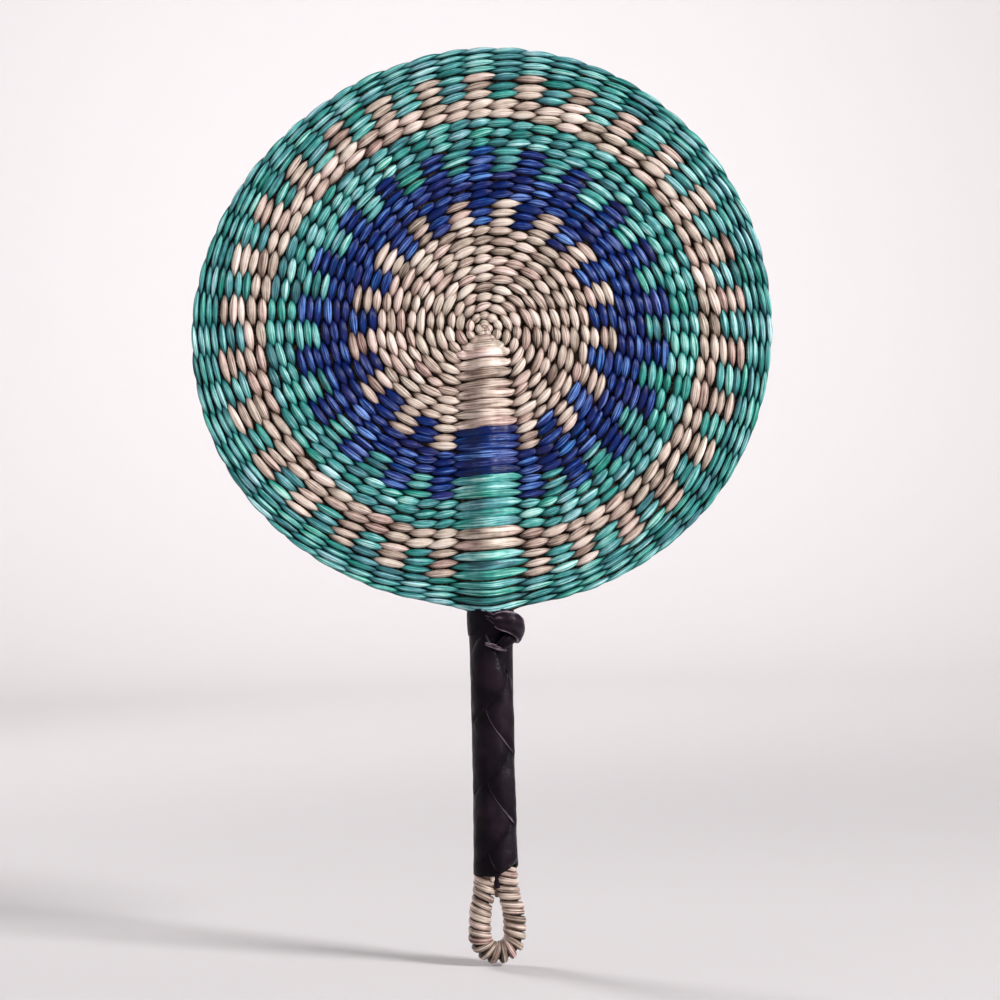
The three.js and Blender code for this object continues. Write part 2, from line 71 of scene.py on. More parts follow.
class Slot(Enum):
    """The record's material slots."""

    NATURAL = "straw_natural"
    TEAL = "straw_teal"
    BLUE = "straw_blue"
    STEMS = "straw_stems"
    LEATHER = "leather_dark"


class Side(Enum):
    """The side of the disc that a strand lies on over the handle."""

    FRONT = "front"
    BACK = "back"


# Finishes


def linear(code: str) -> tuple[float, float, float, float]:
    """Turns an sRGB hex colour into linear values.

    Args:
        code: the colour as #RRGGBB.

    Returns:
        Red, green, blue and alpha.
    """
    parts = [int(code[i:i + 2], 16) / 255 for i in (1, 3, 5)]
    return (*[p / 12.92 if p <= 0.04045 else ((p + 0.055) / 1.055) ** 2.4 for p in parts], 1.0)


def add_node(tree: bpy.types.NodeTree, kind: str, inputs: dict | None = None, **settings: object) -> bpy.types.Node:
    """Adds a node with its settings and links.

    Args:
        tree: the node tree that takes it.
        kind: the node's type.
        inputs: sockets or values for its inputs, by name or place.
        **settings: the node's own properties.

    Returns:
        The node.
    """
    node = tree.nodes.new(kind)
    for name, value in settings.items():
        setattr(node, name, value)
    for name, value in (inputs or {}).items():
        if isinstance(value, bpy.types.NodeSocket):
            tree.links.new(value, node.inputs[name])
        else:
            node.inputs[name].default_value = value
    return node


def set_ramp(node: bpy.types.Node, stops: list[tuple[float, str]]) -> None:
    """Sets a colour ramp's stops.

    Args:
        node: the ramp.
        stops: places from 0 to 1 with their sRGB colours.
    """
    elements = node.color_ramp.elements
    while len(elements) < len(stops):
        elements.new(1.0)
    for element, (place, code) in zip(elements, stops):
        element.position = place
        element.color = linear(code)


def new_material(name: str) -> tuple[bpy.types.Material, bpy.types.NodeTree, bpy.types.Node]:
    """Makes a material with a bare principled shader.

    Args:
        name: the material's name.

    Returns:
        The material, its node tree and its shader.
    """
    material = bpy.data.materials.new(name)
    material.use_nodes = True
    tree = material.node_tree
    return material, tree, tree.nodes["Principled BSDF"]


@dataclass(frozen=True)
class StrawFinish:
    """Twisted grass straw, dyed in the bunch or left as it dried.

    The split stems lie side by side along the strand, so the eye sees fine streaks along it, a waxy
    shine on the crests, a tone that changes a little from stitch to stitch, and gaps painted dark as shade.
    """

    name: str
    deep: str  # painted shade: the colour deep in the gaps between strands
    shade: str
    body: str
    light: str
    roughness: float = 0.38
    streaks: float = 0.3  # how far a stem's tone departs from the strand's
    fibre_width: float = 0.6  # a split stem is about 0.3 wide: drawn coarser so that it shows
    fibre_length: float = 18.0
    blotch: float = 6.0  # how far the dye's unevenness reaches
    bunch: float = 45.0  # the length after which a strand's own colour has changed
    hue_change: float = 0.02
    ior: float = 1.5  # cellulose
    wax: float = 0.35  # a split stem gives back less than its whole, waxy skin
    patch_change: float = 0.1  # how far the dye's unevenness changes the tone
    strength_change: float = 0.15  # and a bunch the colour's strength
    hollow_rough: float = 0.12  # how much rougher a stem's hollows are
    crest_smooth: float = 0.08  # and how much smoother its crests
    relief: float = 0.65  # how far a stem stands out: drawn deeper so that it shows

    def build(self) -> bpy.types.Material:
        """Makes the material from the strand's own length and girth, and its tone."""
        material, tree, shader = new_material(self.name)
        place = add_node(tree, "ShaderNodeUVMap", uv_map="strand").outputs["UV"]
        grain = (1 / self.fibre_width, 1 / self.fibre_length, 1.0)
        along = add_node(tree, "ShaderNodeMapping", {"Vector": place, "Scale": grain})
        streak = add_node(tree, "ShaderNodeTexNoise", {"Vector": along.outputs[0], "Scale": 1.0, "Detail": 3.0})
        spread = (1 / self.blotch, 1 / self.blotch, 1.0)
        wide = add_node(tree, "ShaderNodeMapping", {"Vector": place, "Scale": spread})
        blotch = add_node(tree, "ShaderNodeTexNoise", {"Vector": wide.outputs[0], "Scale": 1.0, "Detail": 2.0})
        tone = add_node(tree, "ShaderNodeAttribute", attribute_name="tone")
        lines = add_node(tree, "ShaderNodeMapRange", {
            "Value": streak.outputs["Fac"], **NOISE_RANGE, 3: -self.streaks, 4: self.streaks})
        patches = add_node(tree, "ShaderNodeMapRange", {
            "Value": blotch.outputs["Fac"], **NOISE_RANGE, 3: -self.patch_change, 4: self.patch_change})
        varied = add_node(tree, "ShaderNodeMath", {0: tone.outputs["Fac"], 1: lines.outputs[0]}, operation="ADD")
        mixed = add_node(tree, "ShaderNodeMath", {0: varied.outputs[0], 1: patches.outputs[0]}, operation="ADD")
        ramp = add_node(tree, "ShaderNodeValToRGB", {"Fac": mixed.outputs[0]})
        set_ramp(ramp, [(0.0, self.deep), (0.3, self.shade), (0.6, self.body), (1.0, self.light)])
        lot = (0.0, 1 / self.bunch, 1.0)
        long = add_node(tree, "ShaderNodeMapping", {"Vector": place, "Scale": lot})
        bunch = add_node(tree, "ShaderNodeTexNoise", {"Vector": long.outputs[0], "Scale": 1.0, "Detail": 2.0})
        hue = add_node(tree, "ShaderNodeMapRange", {
            "Value": bunch.outputs["Fac"], **NOISE_RANGE, 3: 0.5 - self.hue_change, 4: 0.5 + self.hue_change})
        strength = add_node(tree, "ShaderNodeMapRange", {
            "Value": bunch.outputs["Fac"], **NOISE_RANGE, 3: 1 + self.strength_change, 4: 1 - self.strength_change})
        dyed = add_node(tree, "ShaderNodeHueSaturation", {
            "Hue": hue.outputs[0], "Saturation": strength.outputs[0], "Color": ramp.outputs["Color"]})
        gloss = add_node(tree, "ShaderNodeMapRange", {
            "Value": streak.outputs["Fac"], **NOISE_RANGE,
            3: self.roughness + self.hollow_rough, 4: self.roughness - self.crest_smooth})
        bump = add_node(tree, "ShaderNodeBump", {
            "Height": streak.outputs["Fac"], "Strength": 0.9, "Distance": self.relief * MM})
        tree.links.new(dyed.outputs["Color"], shader.inputs["Base Color"])
        tree.links.new(gloss.outputs[0], shader.inputs["Roughness"])
        tree.links.new(bump.outputs["Normal"], shader.inputs["Normal"])
        shader.inputs["IOR"].default_value = self.ior
        shader.inputs["Specular IOR Level"].default_value = self.wax
        return material


@dataclass(frozen=True)
class HideFinish:
    """Thin goat hide, dyed dark with plant dye, wetted, drawn round the handle and left to dry.

    It gives the eye a dark, slightly purple brown with a fine pebbled grain, a dull polish where hands
    and folds rub it, the same lighter tones as painted sheen and painted light, and paler raw edges.
    """

    name: str = "goat_hide_dyed_dark"
    deep: str = "#050206"
    body: str = "#0B040E"
    # rubbed wear, also used as painted sheen on the tongues and as painted light on the shaded back
    rubbed_and_sheen: str = "#241822"
    raw: str = "#948490"
    roughness: float = 0.42
    pebble: float = 0.9  # the grain's spacing
    ior: float = 1.5
    polish: float = 0.09  # unwaxed hide gives back less than a smooth film would
    clouds_per_mm: float = 0.12  # patches of wear, and the creases in them
    patch_change: float = 0.15  # how far they change the tone
    gloss_change: float = 0.1  # and the roughness
    grain_relief: float = 0.2  # how far the grain stands out
    crease_relief: float = 1.2  # and the creases

    def build(self) -> bpy.types.Material:
        """Makes the material from object coordinates and the hide's tone: its wear, with painted sheen, painted light
        and painted shade.
        """
        material, tree, shader = new_material(self.name)
        place = add_node(tree, "ShaderNodeTexCoord").outputs["Object"]
        cells = add_node(tree, "ShaderNodeTexVoronoi", {"Vector": place, "Scale": 1 / (self.pebble * MM)})
        cloud = add_node(tree, "ShaderNodeTexNoise", {
            "Vector": place, "Scale": self.clouds_per_mm / MM, "Detail": 5.0})
        wear_and_shading = add_node(tree, "ShaderNodeAttribute", attribute_name="tone")
        patches = add_node(tree, "ShaderNodeMapRange", {
            "Value": cloud.outputs["Fac"], **NOISE_RANGE, 3: -self.patch_change, 4: self.patch_change})
        # the tone carries wear together with painted sheen, light and shade
        wear = add_node(tree, "ShaderNodeMath", {0: wear_and_shading.outputs["Fac"], 1: patches.outputs[0]}, operation="ADD")
        ramp = add_node(tree, "ShaderNodeValToRGB", {"Fac": wear.outputs[0]})
        set_ramp(ramp, [(0.0, self.deep), (0.4, self.body), (0.75, self.rubbed_and_sheen), (1.0, self.raw)])
        gloss = add_node(tree, "ShaderNodeMapRange", {
            "Value": cloud.outputs["Fac"], **NOISE_RANGE,
            3: self.roughness + self.gloss_change, 4: self.roughness - self.gloss_change})
        grain = add_node(tree, "ShaderNodeBump", {
            "Height": cells.outputs["Distance"], "Strength": 0.25, "Distance": self.grain_relief * MM})
        creases = add_node(tree, "ShaderNodeBump", {
            "Height": cloud.outputs["Fac"], "Strength": 0.8, "Distance": self.crease_relief * MM,
            "Normal": grain.outputs["Normal"]})
        tree.links.new(ramp.outputs["Color"], shader.inputs["Base Color"])
        tree.links.new(gloss.outputs[0], shader.inputs["Roughness"])
        tree.links.new(creases.outputs["Normal"], shader.inputs["Normal"])
        shader.inputs["IOR"].default_value = self.ior
        shader.inputs["Specular IOR Level"].default_value = self.polish
        return material


@dataclass(frozen=True)
class PaperFinish:
    """Matt background paper, rolled out under and behind the fan: an even pale grey without shine."""

    name: str = "background_paper_matt"
    colour: str = "#CBC7C8"
    roughness: float = 0.95

    def build(self) -> bpy.types.Material:
        """Makes the material."""
        material, _, shader = new_material(self.name)
        shader.inputs["Base Color"].default_value = linear(self.colour)
        shader.inputs["Roughness"].default_value = self.roughness
        return material


FINISHES = {
    Slot.NATURAL: StrawFinish("grass_straw_undyed", "#2C1F17", "#826C60", "#CEBAAC", "#F8ECE4", hue_change=0.03),
    Slot.TEAL: StrawFinish(
        "grass_straw_dyed_teal", "#043A3E", "#1B6062", "#479F9C", "#C6EEEC",
        roughness=0.34, streaks=0.36, hue_change=0.045),
    Slot.BLUE: StrawFinish(
        "grass_straw_dyed_blue", "#010C46", "#02154E", "#05226C", "#7098DA",
        roughness=0.3, streaks=0.38, hue_change=0.012, wax=0.22),
    # the stems are drawn near their deep colour: painted shade where they show in the weave's gaps
    Slot.STEMS: StrawFinish("grass_stems_bundled", "#1A120A", "#5A4630", "#A98D66", "#D8C4A2", roughness=0.6),
    Slot.LEATHER: HideFinish(),
}


class Palette:
    """The materials of the fan, each made once."""

    def __init__(self) -> None:
        """Makes a material for every slot."""
        self.materials = {slot: finish.build() for slot, finish in FINISHES.items()}

    def dress(self, piece: bpy.types.Object, slot: Slot, *nodes: str) -> None:
        """Gives a piece the material of a slot, parents it to the body, and hides the solids that it stands for.

        Args:
            piece: the Blender object.
            slot: the record's slot.
            *nodes: names of the solids.
        """
        piece.data.materials.append(self.materials[slot])
        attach(piece, BODY)
        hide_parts(*nodes)
        LOG.info("%s: %d faces, for %s", piece.name, len(piece.data.polygons), ", ".join(nodes))


# Meshes


class Skin:
    """Gathers the swept strands and sheets of one piece into one mesh."""

    def __init__(self) -> None:
        """Starts with no faces."""
        self.points: list[np.ndarray] = []
        self.faces: list[list[int]] = []
        self.places: list[np.ndarray] = []
        self.tones: list[np.ndarray] = []
        self.total = 0

    def sweep(self, rings: np.ndarray, along: np.ndarray, girth: float, tone: np.ndarray, closed: bool) -> None:
        """Adds a tube through rings of points.

        Args:
            rings: points by ring and side.
            along: how far along the strand each ring lies, with one more value where the tube is closed.
            girth: the way round the strand.
            tone: a tone for each ring, or for each ring and side.
            closed: whether the last ring joins the first.
        """
        count, sides = rings.shape[:2]
        spans = count if closed else count - 1
        ring, side = np.meshgrid(np.arange(spans), np.arange(sides), indexing="ij")
        ahead, beside = (ring + 1) % count, (side + 1) % sides
        quads = np.stack([ring * sides + side, ring * sides + beside, ahead * sides + beside, ahead * sides + side], -1)
        across = np.stack([side, side + 1, side + 1, side], -1) * (girth / sides)
        length = np.stack([along[ring], along[ring], along[ring + 1], along[ring + 1]], -1)
        quads, places = quads.reshape(-1, 4), np.stack([across, length], -1).reshape(-1, 4, 2)
        flat = rings.reshape(-1, 3)
        corners = flat[quads] - flat.mean(axis=0)
        wedges = np.cross(corners[:, 1] - corners[:, 0], corners[:, 2] - corners[:, 0])
        inward = np.einsum("ij,ij->i", corners[:, 0], wedges).sum() < 0
        if inward:
            quads, places = quads[:, ::-1], places[:, ::-1]
        self.faces.extend((quads + self.total).tolist())
        self.places.append(places.reshape(-1, 2))
        if not closed:
            for end, turn in ((0, not inward), (count - 1, inward)):
                cap = list(range(end * sides, (end + 1) * sides))
                self.faces.append([i + self.total for i in (cap[::-1] if turn else cap)])
                self.places.append(np.full((sides, 2), along[min(end, spans)]))
        self.points.append(flat)
        self.tones.append(np.broadcast_to(np.reshape(tone, (count, -1)), (count, sides)).reshape(-1))
        self.total += len(flat)

    def build(self, name: str) -> bpy.types.Object:
        """Makes the object.

        Args:
            name: the piece's name.

        Returns:
            The object, in the scene, in metres.
        """
        mesh = bpy.data.meshes.new(name)
        mesh.from_pydata((np.concatenate(self.points) * MM).tolist(), [], self.faces)
        mesh.polygons.foreach_set("use_smooth", np.ones(len(mesh.polygons), dtype=bool))
        layer = mesh.uv_layers.new(name="strand")
        layer.data.foreach_set("uv", np.concatenate(self.places).astype(np.float32).ravel())
        tone = mesh.attributes.new("tone", "FLOAT", "POINT")
        tone.data.foreach_set("value", np.concatenate(self.tones).astype(np.float32))
        mesh.validate()
        piece = bpy.data.objects.new(name, mesh)
        bpy.context.scene.collection.objects.link(piece)
        return piece


def ring_sections(
    path: np.ndarray, lean: np.ndarray, width: np.ndarray, depth: np.ndarray, sides: int, closed: bool
) -> np.ndarray:
    """Sets an oval section at each point of a path.

    Args:
        path: the strand's centre line.
        lean: a direction for each point that the section's width follows.
        width: half widths.
        depth: half depths.
        sides: points of a section.
        closed: whether the path joins its own start.

    Returns:
        Points by ring and side.
    """
    if closed:
        along = np.roll(path, -1, axis=0) - np.roll(path, 1, axis=0)
    else:
        along = np.gradient(path, axis=0)
    along /= np.linalg.norm(along, axis=1, keepdims=True)
    off = np.cross(along, lean)
    off /= np.linalg.norm(off, axis=1, keepdims=True)
    wide = np.cross(off, along)
    around = round_angles(sides)
    return (
        path[:, None]
        + wide[:, None] * (width[:, None] * np.cos(around))[..., None]
        + off[:, None] * (depth[:, None] * np.sin(around))[..., None]
    )


def lengths(path: np.ndarray, closed: bool) -> np.ndarray:
    """Works out how far along a path its points lie, with its whole length last where it is closed."""
    line = np.vstack([path, path[:1]]) if closed else path
    return np.concatenate([[0.0], np.cumsum(np.linalg.norm(np.diff(line, axis=0), axis=1))])


def round_angles(count: int) -> np.ndarray:
    """Finds evenly spaced angles once round."""
    return np.arange(count) * (2 * math.pi / count)


def ease(share: np.ndarray) -> np.ndarray:
    """Works out a soft rise from 0 to 1 as a share does."""
    share = np.clip(share, 0, 1)
    return share * share * (3 - 2 * share)


def between(places: np.ndarray, known: np.ndarray, values: np.ndarray) -> np.ndarray:
    """Reads points or directions at places between known ones.

    Args:
        places: where to read.
        known: the places of the values, rising.
        values: one point or direction for each.

    Returns:
        A point or direction for each place.
    """
    return np.stack([np.interp(places, known, column) for column in values.T], -1)


# The disc


@dataclass(frozen=True)
class Disc:
    """The form of the woven disc: its hand-made outline, and how the strands ride over the handle's core."""

    cover_top: float
    rim_radius: float = 125.7
    outline_waves: tuple = ((2, -2.34, 1.11), (3, 0.8, 0.96))  # lobes, cosine and sine
    collar_drop: float = 3.4
    collar_half_width: float = 13.0
    collar_fade: float = 8.0
    spoke_thickness: float = 3.0
    core_radius: float = 8.0
    core_run: float = 15.0
    float_half_width: float = 14.8
    float_tip_half: float = 9.5
    float_run: float = 60.0
    landing: float = 0.8  # how softly a float comes down from the core to the spokes
    first_crossing: float = 0.15  # from a float's end, in spokes' spacings
    pull_radii: tuple = (0.0, 40.0, 70.0, 94.0, 104.0, 116.0, 126.0)
    pulls: tuple = (0.0, 0.3, 3.4, 3.7, 3.1, 1.2, 0.0)  # how far a round's float is drawn up the handle
    pull_reach: float = 2.6  # how far to the sides that is felt, in half floats
    pull_fade: float = 1.9  # and over how many it fades
    most_float: float = 0.72  # the most of a round's radius that half a float takes
    settle_passes: int = 12  # until a float's width has settled

    @property
    def centre_z(self) -> float:
        """The height of the disc's centre, whose rim sits on the leather."""
        return self.cover_top + SEAT_GAP + float(self.radius(self.rim_radius, np.array(math.pi)))

    def radius(self, nominal: np.ndarray | float, angle: np.ndarray) -> np.ndarray:
        """Works out what a nominal radius comes to at an angle, on the hand-woven outline."""
        departure = sum(c * np.cos(n * angle) + s * np.sin(n * angle) for n, c, s in self.outline_waves)
        across = nominal * np.sin(angle) / self.collar_half_width
        collar = np.where(np.cos(angle) < 0, self.collar_drop * np.exp(-across * across), 0.0)
        share = nominal / self.rim_radius
        return nominal + departure * share + collar * share ** self.collar_fade

    def points(self, nominal: np.ndarray | float, angle: np.ndarray, y: np.ndarray | float) -> np.ndarray:
        """Finds points of the disc from nominal radius, angle and distance from its middle plane."""
        radius = self.radius(nominal, angle)
        x, z = radius * np.sin(angle), self.centre_z + radius * np.cos(angle)
        return np.stack([x, np.broadcast_to(y, x.shape), z], -1)

    def float_half(self, depth: np.ndarray | float) -> np.ndarray:
        """Works out half the width of the floats at a depth below the disc's centre."""
        fade = np.exp(-np.maximum(depth, 0) / self.float_run)
        return self.float_half_width + (self.float_tip_half - self.float_half_width) * fade

    def core_half(self, depth: np.ndarray | float) -> np.ndarray:
        """Works out half the core's thickness at a depth below the disc's centre."""
        return self.core_radius * (1 - np.exp(-np.maximum(depth, 0) / self.core_run))

    def seat(self, nominal: np.ndarray | float, angle: np.ndarray) -> np.ndarray:
        """Works out how far the strands' inner face lies from the middle plane.

        Args:
            nominal: the round's radius.
            angle: angles round it.

        Returns:
            The height of a strand drawn taut over the core, or over the spokes beside it.
        """
        depth = -nominal * np.cos(angle)
        share = np.minimum(np.abs(nominal * np.sin(angle)) / self.float_half(depth), 1)
        level, taut = self.spoke_thickness / 2, self.core_half(depth) * self.drape(share)
        return (level + taut + np.hypot(level - taut, self.landing)) / 2 + SEAT_GAP

    def drape(self, share: np.ndarray) -> np.ndarray:
        """Works out the height of a float's line over the core, round on top and straight to its ends.

        Args:
            share: places across, from 0 over the core's middle to 1 at the float's end.

        Returns:
            Heights as shares of half the core's thickness.
        """
        slimness = self.core_radius / self.float_half_width
        crown = np.sqrt(np.maximum(1 - (share / slimness) ** 2, 0))
        return np.where(share < slimness ** 2, crown, (1 - share) / math.sqrt(1 - slimness ** 2))

    def pull(self, nominal: float, angle: np.ndarray) -> np.ndarray:
        """Works out how far up a round is drawn where it floats straight across the handle.

        Args:
            nominal: the round's radius.
            angle: angles round it.

        Returns:
            Heights to add.
        """
        edge = self.float_angle(nominal)
        off = np.abs(np.angle(np.exp(1j * (angle - math.pi))))
        chord = np.maximum(nominal * (np.cos(off) - math.cos(edge)), 0) * (off < edge)
        near = ease((self.pull_reach - off / edge) / self.pull_fade)
        return chord + np.interp(nominal, self.pull_radii, self.pulls) * near

    def beside(self, nominal: float, place: float, count: int) -> float:
        """Finds an angle clockwise from the handle's left side.

        Args:
            nominal: the round's radius.
            place: how many spokes' spacings past the first crossing.
            count: how many spokes the round goes over.

        Returns:
            The angle.
        """
        edge = self.float_angle(nominal)
        share = (place + self.first_crossing) / (count + 2 * self.first_crossing)
        return math.pi + edge + 2 * (math.pi - edge) * share

    def float_angle(self, nominal: float) -> float:
        """Finds the angle past straight down at which a round's float ends, by settling its width."""
        x, widest = 0.0, self.most_float * nominal
        for _ in range(self.settle_passes):
            x = min(float(self.float_half(math.sqrt(nominal * nominal - x * x))), widest)
        return math.asin(x / nominal)


@dataclass(frozen=True)
class Zone:
    """A band of the weave: its rounds, its share of the disc's radius, and the dyes of its two strands."""

    name: str
    rounds: int
    share: float
    front: Slot
    back: Slot


ZONES = (
    Zone("centre", 11, 0.368, Slot.NATURAL, Slot.NATURAL),
    Zone("inner_teeth", 3, 0.097, Slot.BLUE, Slot.NATURAL),
    Zone("blue_band", 3, 0.094, Slot.BLUE, Slot.BLUE),
    Zone("middle_teeth", 3, 0.088, Slot.TEAL, Slot.BLUE),
    Zone("teal_band", 3, 0.1, Slot.TEAL, Slot.TEAL),
    Zone("natural_ring", 2, 0.072, Slot.NATURAL, Slot.NATURAL),
    Zone("outer_teeth", 3, 0.091, Slot.TEAL, Slot.NATURAL),
    Zone("rim_band", 3, 0.068, Slot.TEAL, Slot.TEAL),
)


@dataclass
class Weave:
    """The twined weft: in every round two strands cross between the spokes, one turn in two spokes."""

    disc: Disc
    palette: Palette
    spoke_counts: tuple = (
        (0.0, 3), (4.2, 7), (12.6, 11), (21.0, 15), (29.4, 23), (42.0, 31), (58.4, 41), (81.3, 57))
    strand_depth: float = 1.38  # half, on a stitch's crest
    float_depth: float = 0.95  # half, where a strand is drawn flat over the handle
    strand_share: float = 0.48  # half a stitch's width, as a share of the round's
    float_share: float = 0.555  # half a float's width, pressed against its neighbours
    float_shade: float = 0.07  # painted shade: how much darker a float is drawn all over
    overlap: float = 0.25  # how far a stitch's tip runs past the crossing, in spokes' spacings
    lean_share: float = 0.3  # how far a stitch's tips lie off the round's middle, as a share of its width
    most_lean: float = 0.16  # and the most of a spoke's spacing that this takes
    wander: float = 0.095  # how far a crossing strays, as a share of the spacing
    gap_shade: float = 0.64  # how much darker a strand is where it dives between its neighbours
    gap_depth: float = 2.4  # how far below the crest it is darkest
    tip_taper: tuple = (1.8, 0.9)  # how a stitch narrows towards its tips
    tip_dive: tuple = (2.6, 0.7)  # and how it sinks there
    tip_thickness: float = 0.4  # what its tips keep of its thickness
    least_half: float = 0.1
    lean_spread: tuple = (0.65, 1.35)  # how unevenly the hand leans its stitches
    width_spread: tuple = (0.9, 1.08)  # and packs them
    stray: float = 0.055  # how far a stitch lies off its round, as a share of the round's width
    crest_tone: float = 0.6
    tone_change: float = 0.1  # from stitch to stitch
    rim_thickness: float = 0.8  # of the closing round, as a share of the others'
    rim_filling: float = 0.42  # half the width of the bent ends in it, as a share of its width
    rim_girth: float = 10.0
    rim_steps: int = 240
    # painted shade: the bent ends in the closing round are drawn dark, in the shade between its strands
    rim_shade_tone: float = 0.28
    stitch_steps: int = 15
    float_steps: int = 41
    sides: int = 12
    seed: int = 11

    def spokes(self, radius: float) -> int:
        """Finds how many spokes a round goes over."""
        return [count for start, count in self.spoke_counts if start <= radius][-1]

    def crossings(self, radius: float, chance: np.random.Generator) -> np.ndarray:
        """Finds the angles at which a round's strands cross, from beside the handle clockwise.

        Args:
            radius: the round's radius.
            chance: where the hand's unevenness comes from.

        Returns:
            One angle more than the round has spokes.
        """
        count = self.spokes(radius)
        stray = self.wander * chance.uniform(-1, 1, count + 1)
        return np.array([self.disc.beside(radius, place, count) for place in np.arange(count + 1) + stray])

    def strand(self, skin: Skin, radius: float, pitch: float, leads: bool, crossings: np.ndarray,
               chance: np.random.Generator, depth: float) -> None:
        """Adds one strand of a round: over a spoke going outwards, then behind the next coming back.

        Args:
            skin: the mesh that takes it.
            radius: the round's radius.
            pitch: the width that the round takes.
            leads: whether the strand passes in front of the handle.
            crossings: angles at which it crosses the other strand.
            chance: where the hand's unevenness comes from.
            depth: half its thickness on a crest.
        """
        starts = np.concatenate([[crossings[-1] - 2 * math.pi], crossings])
        for turn in range(len(crossings)):
            in_front = (turn % 2 == 0) == leads
            self.stitch(skin, radius, pitch, depth, starts[turn:turn + 2], in_front, turn == 0, chance)

    def stitch(self, skin: Skin, radius: float, pitch: float, depth: float, ends: np.ndarray, in_front: bool,
               on_handle: bool, chance: np.random.Generator) -> None:
        """Adds one pass of a strand, a slim leaf whose tips dive between its neighbours.

        Args:
            skin: the mesh that takes it.
            radius: the round's radius.
            pitch: the width that the round takes.
            depth: half its thickness on its crest.
            ends: the angles of the crossings that it runs between.
            in_front: whether it lies on the disc's front.
            on_handle: whether it floats over the handle.
            chance: where the hand's unevenness comes from.
        """
        count = self.spokes(radius)
        spacing = radius * (self.disc.beside(radius, 1, count) - self.disc.beside(radius, 0, count))
        lean = min(self.lean_share * pitch, self.most_lean * spacing) * chance.uniform(*self.lean_spread)
        along = np.linspace(-1, 1, self.float_steps if on_handle else self.stitch_steps)
        along = np.sin(math.pi / 2 * along)
        half_turn = (ends[1] - ends[0]) / 2 + self.overlap * spacing / radius
        angle = (ends[0] + ends[1]) / 2 + half_turn * along
        to_tip = radius * half_turn * (1 - np.abs(along))
        near_tip = np.maximum(1 - to_tip / ((0.5 + self.overlap) * spacing), 0)
        full, rise = ((1 - near_tip ** sharp) ** blunt for sharp, blunt in (self.tip_taper, self.tip_dive))
        flat = np.clip(2 * to_tip / spacing - 1, 0, 1) if on_handle else np.zeros_like(along)
        share = self.strand_share + (self.float_share - self.strand_share) * flat
        broad = pitch * share * chance.uniform(*self.width_spread)
        crest = depth + (min(self.float_depth, depth) - depth) * flat
        seat = self.disc.seat(radius, angle)
        side = -1 if in_front else 1
        shift = -side * lean * along + self.stray * pitch * chance.normal()
        path = self.disc.points(radius + shift, angle, side * rise * (seat + crest))
        path[:, 2] += self.disc.pull(radius, angle)
        outward = np.stack([np.sin(angle), np.zeros_like(angle), np.cos(angle)], -1)
        width = np.maximum(broad * full, self.least_half)
        thick = np.maximum(crest * (self.tip_thickness + (1 - self.tip_thickness) * full), self.least_half)
        rings = ring_sections(path, outward, width, thick, self.sides, closed=False)
        # painted shade: a strand is drawn darker, towards the deep colour, where it sinks between its neighbours
        sunk = np.clip(((seat + 2 * crest)[:, None] - np.abs(rings[..., 1])) / self.gap_depth, 0, 1)
        tones = self.crest_tone + self.tone_change * chance.normal()
        tones = tones - self.float_shade * flat[:, None] - self.gap_shade * sunk ** 1.5
        start = chance.uniform(0, 500)  # where on a long straw the stitch was cut
        skin.sweep(rings, start + lengths(path, False), math.pi * (pitch / 2 + depth), tones, closed=False)

    def build(self) -> None:
        """Makes the strands of every zone, and the closing round at the rim."""
        start = 0.0
        for place, zone in enumerate(ZONES):
            skins = {side: Skin() for side in Side}
            pitch = zone.share * self.disc.rim_radius / zone.rounds
            for number in range(zone.rounds):
                radius = start + (number + 0.5) * pitch
                chance = np.random.default_rng((self.seed, place, number))
                crossings = self.crossings(radius, chance)
                for side, skin in skins.items():
                    leads = side is Side.FRONT
                    self.strand(skin, radius, pitch, leads, crossings, chance, self.strand_depth)
            for side, skin in skins.items():
                node = f"weft_{side.value}_{zone.name}"
                slot = zone.front if side is Side.FRONT else zone.back
                self.palette.dress(skin.build(f"strand_{side.value}_{zone.name}"), slot, node)
            start += zone.rounds * pitch
        self.close_rim(start)

    def close_rim(self, start: float) -> None:
        """Makes the closing round, two thinner strands twined over the spokes' bent ends.

        Args:
            start: the radius that it starts at.
        """
        skin = Skin()
        chance = np.random.default_rng((self.seed, len(ZONES)))
        radius, pitch = (start + self.disc.rim_radius) / 2, self.disc.rim_radius - start
        crossings = self.crossings(radius, chance)
        for leads in (True, False):
            self.strand(skin, radius, pitch, leads, crossings, chance, self.rim_thickness * self.strand_depth)
        angle = round_angles(self.rim_steps)
        path = self.disc.points(radius, angle, 0.0)
        outward = np.stack([np.sin(angle), np.zeros_like(angle), np.cos(angle)], -1)
        filling = (np.full(len(path), half) for half in (self.rim_filling * pitch, self.disc.spoke_thickness / 2))
        rings = ring_sections(path, outward, *filling, self.sides, closed=True)
        skin.sweep(rings, lengths(path, True), self.rim_girth, np.full(len(path), self.rim_shade_tone), closed=True)
        self.palette.dress(skin.build("closing_round"), Slot.TEAL, "rim_round")


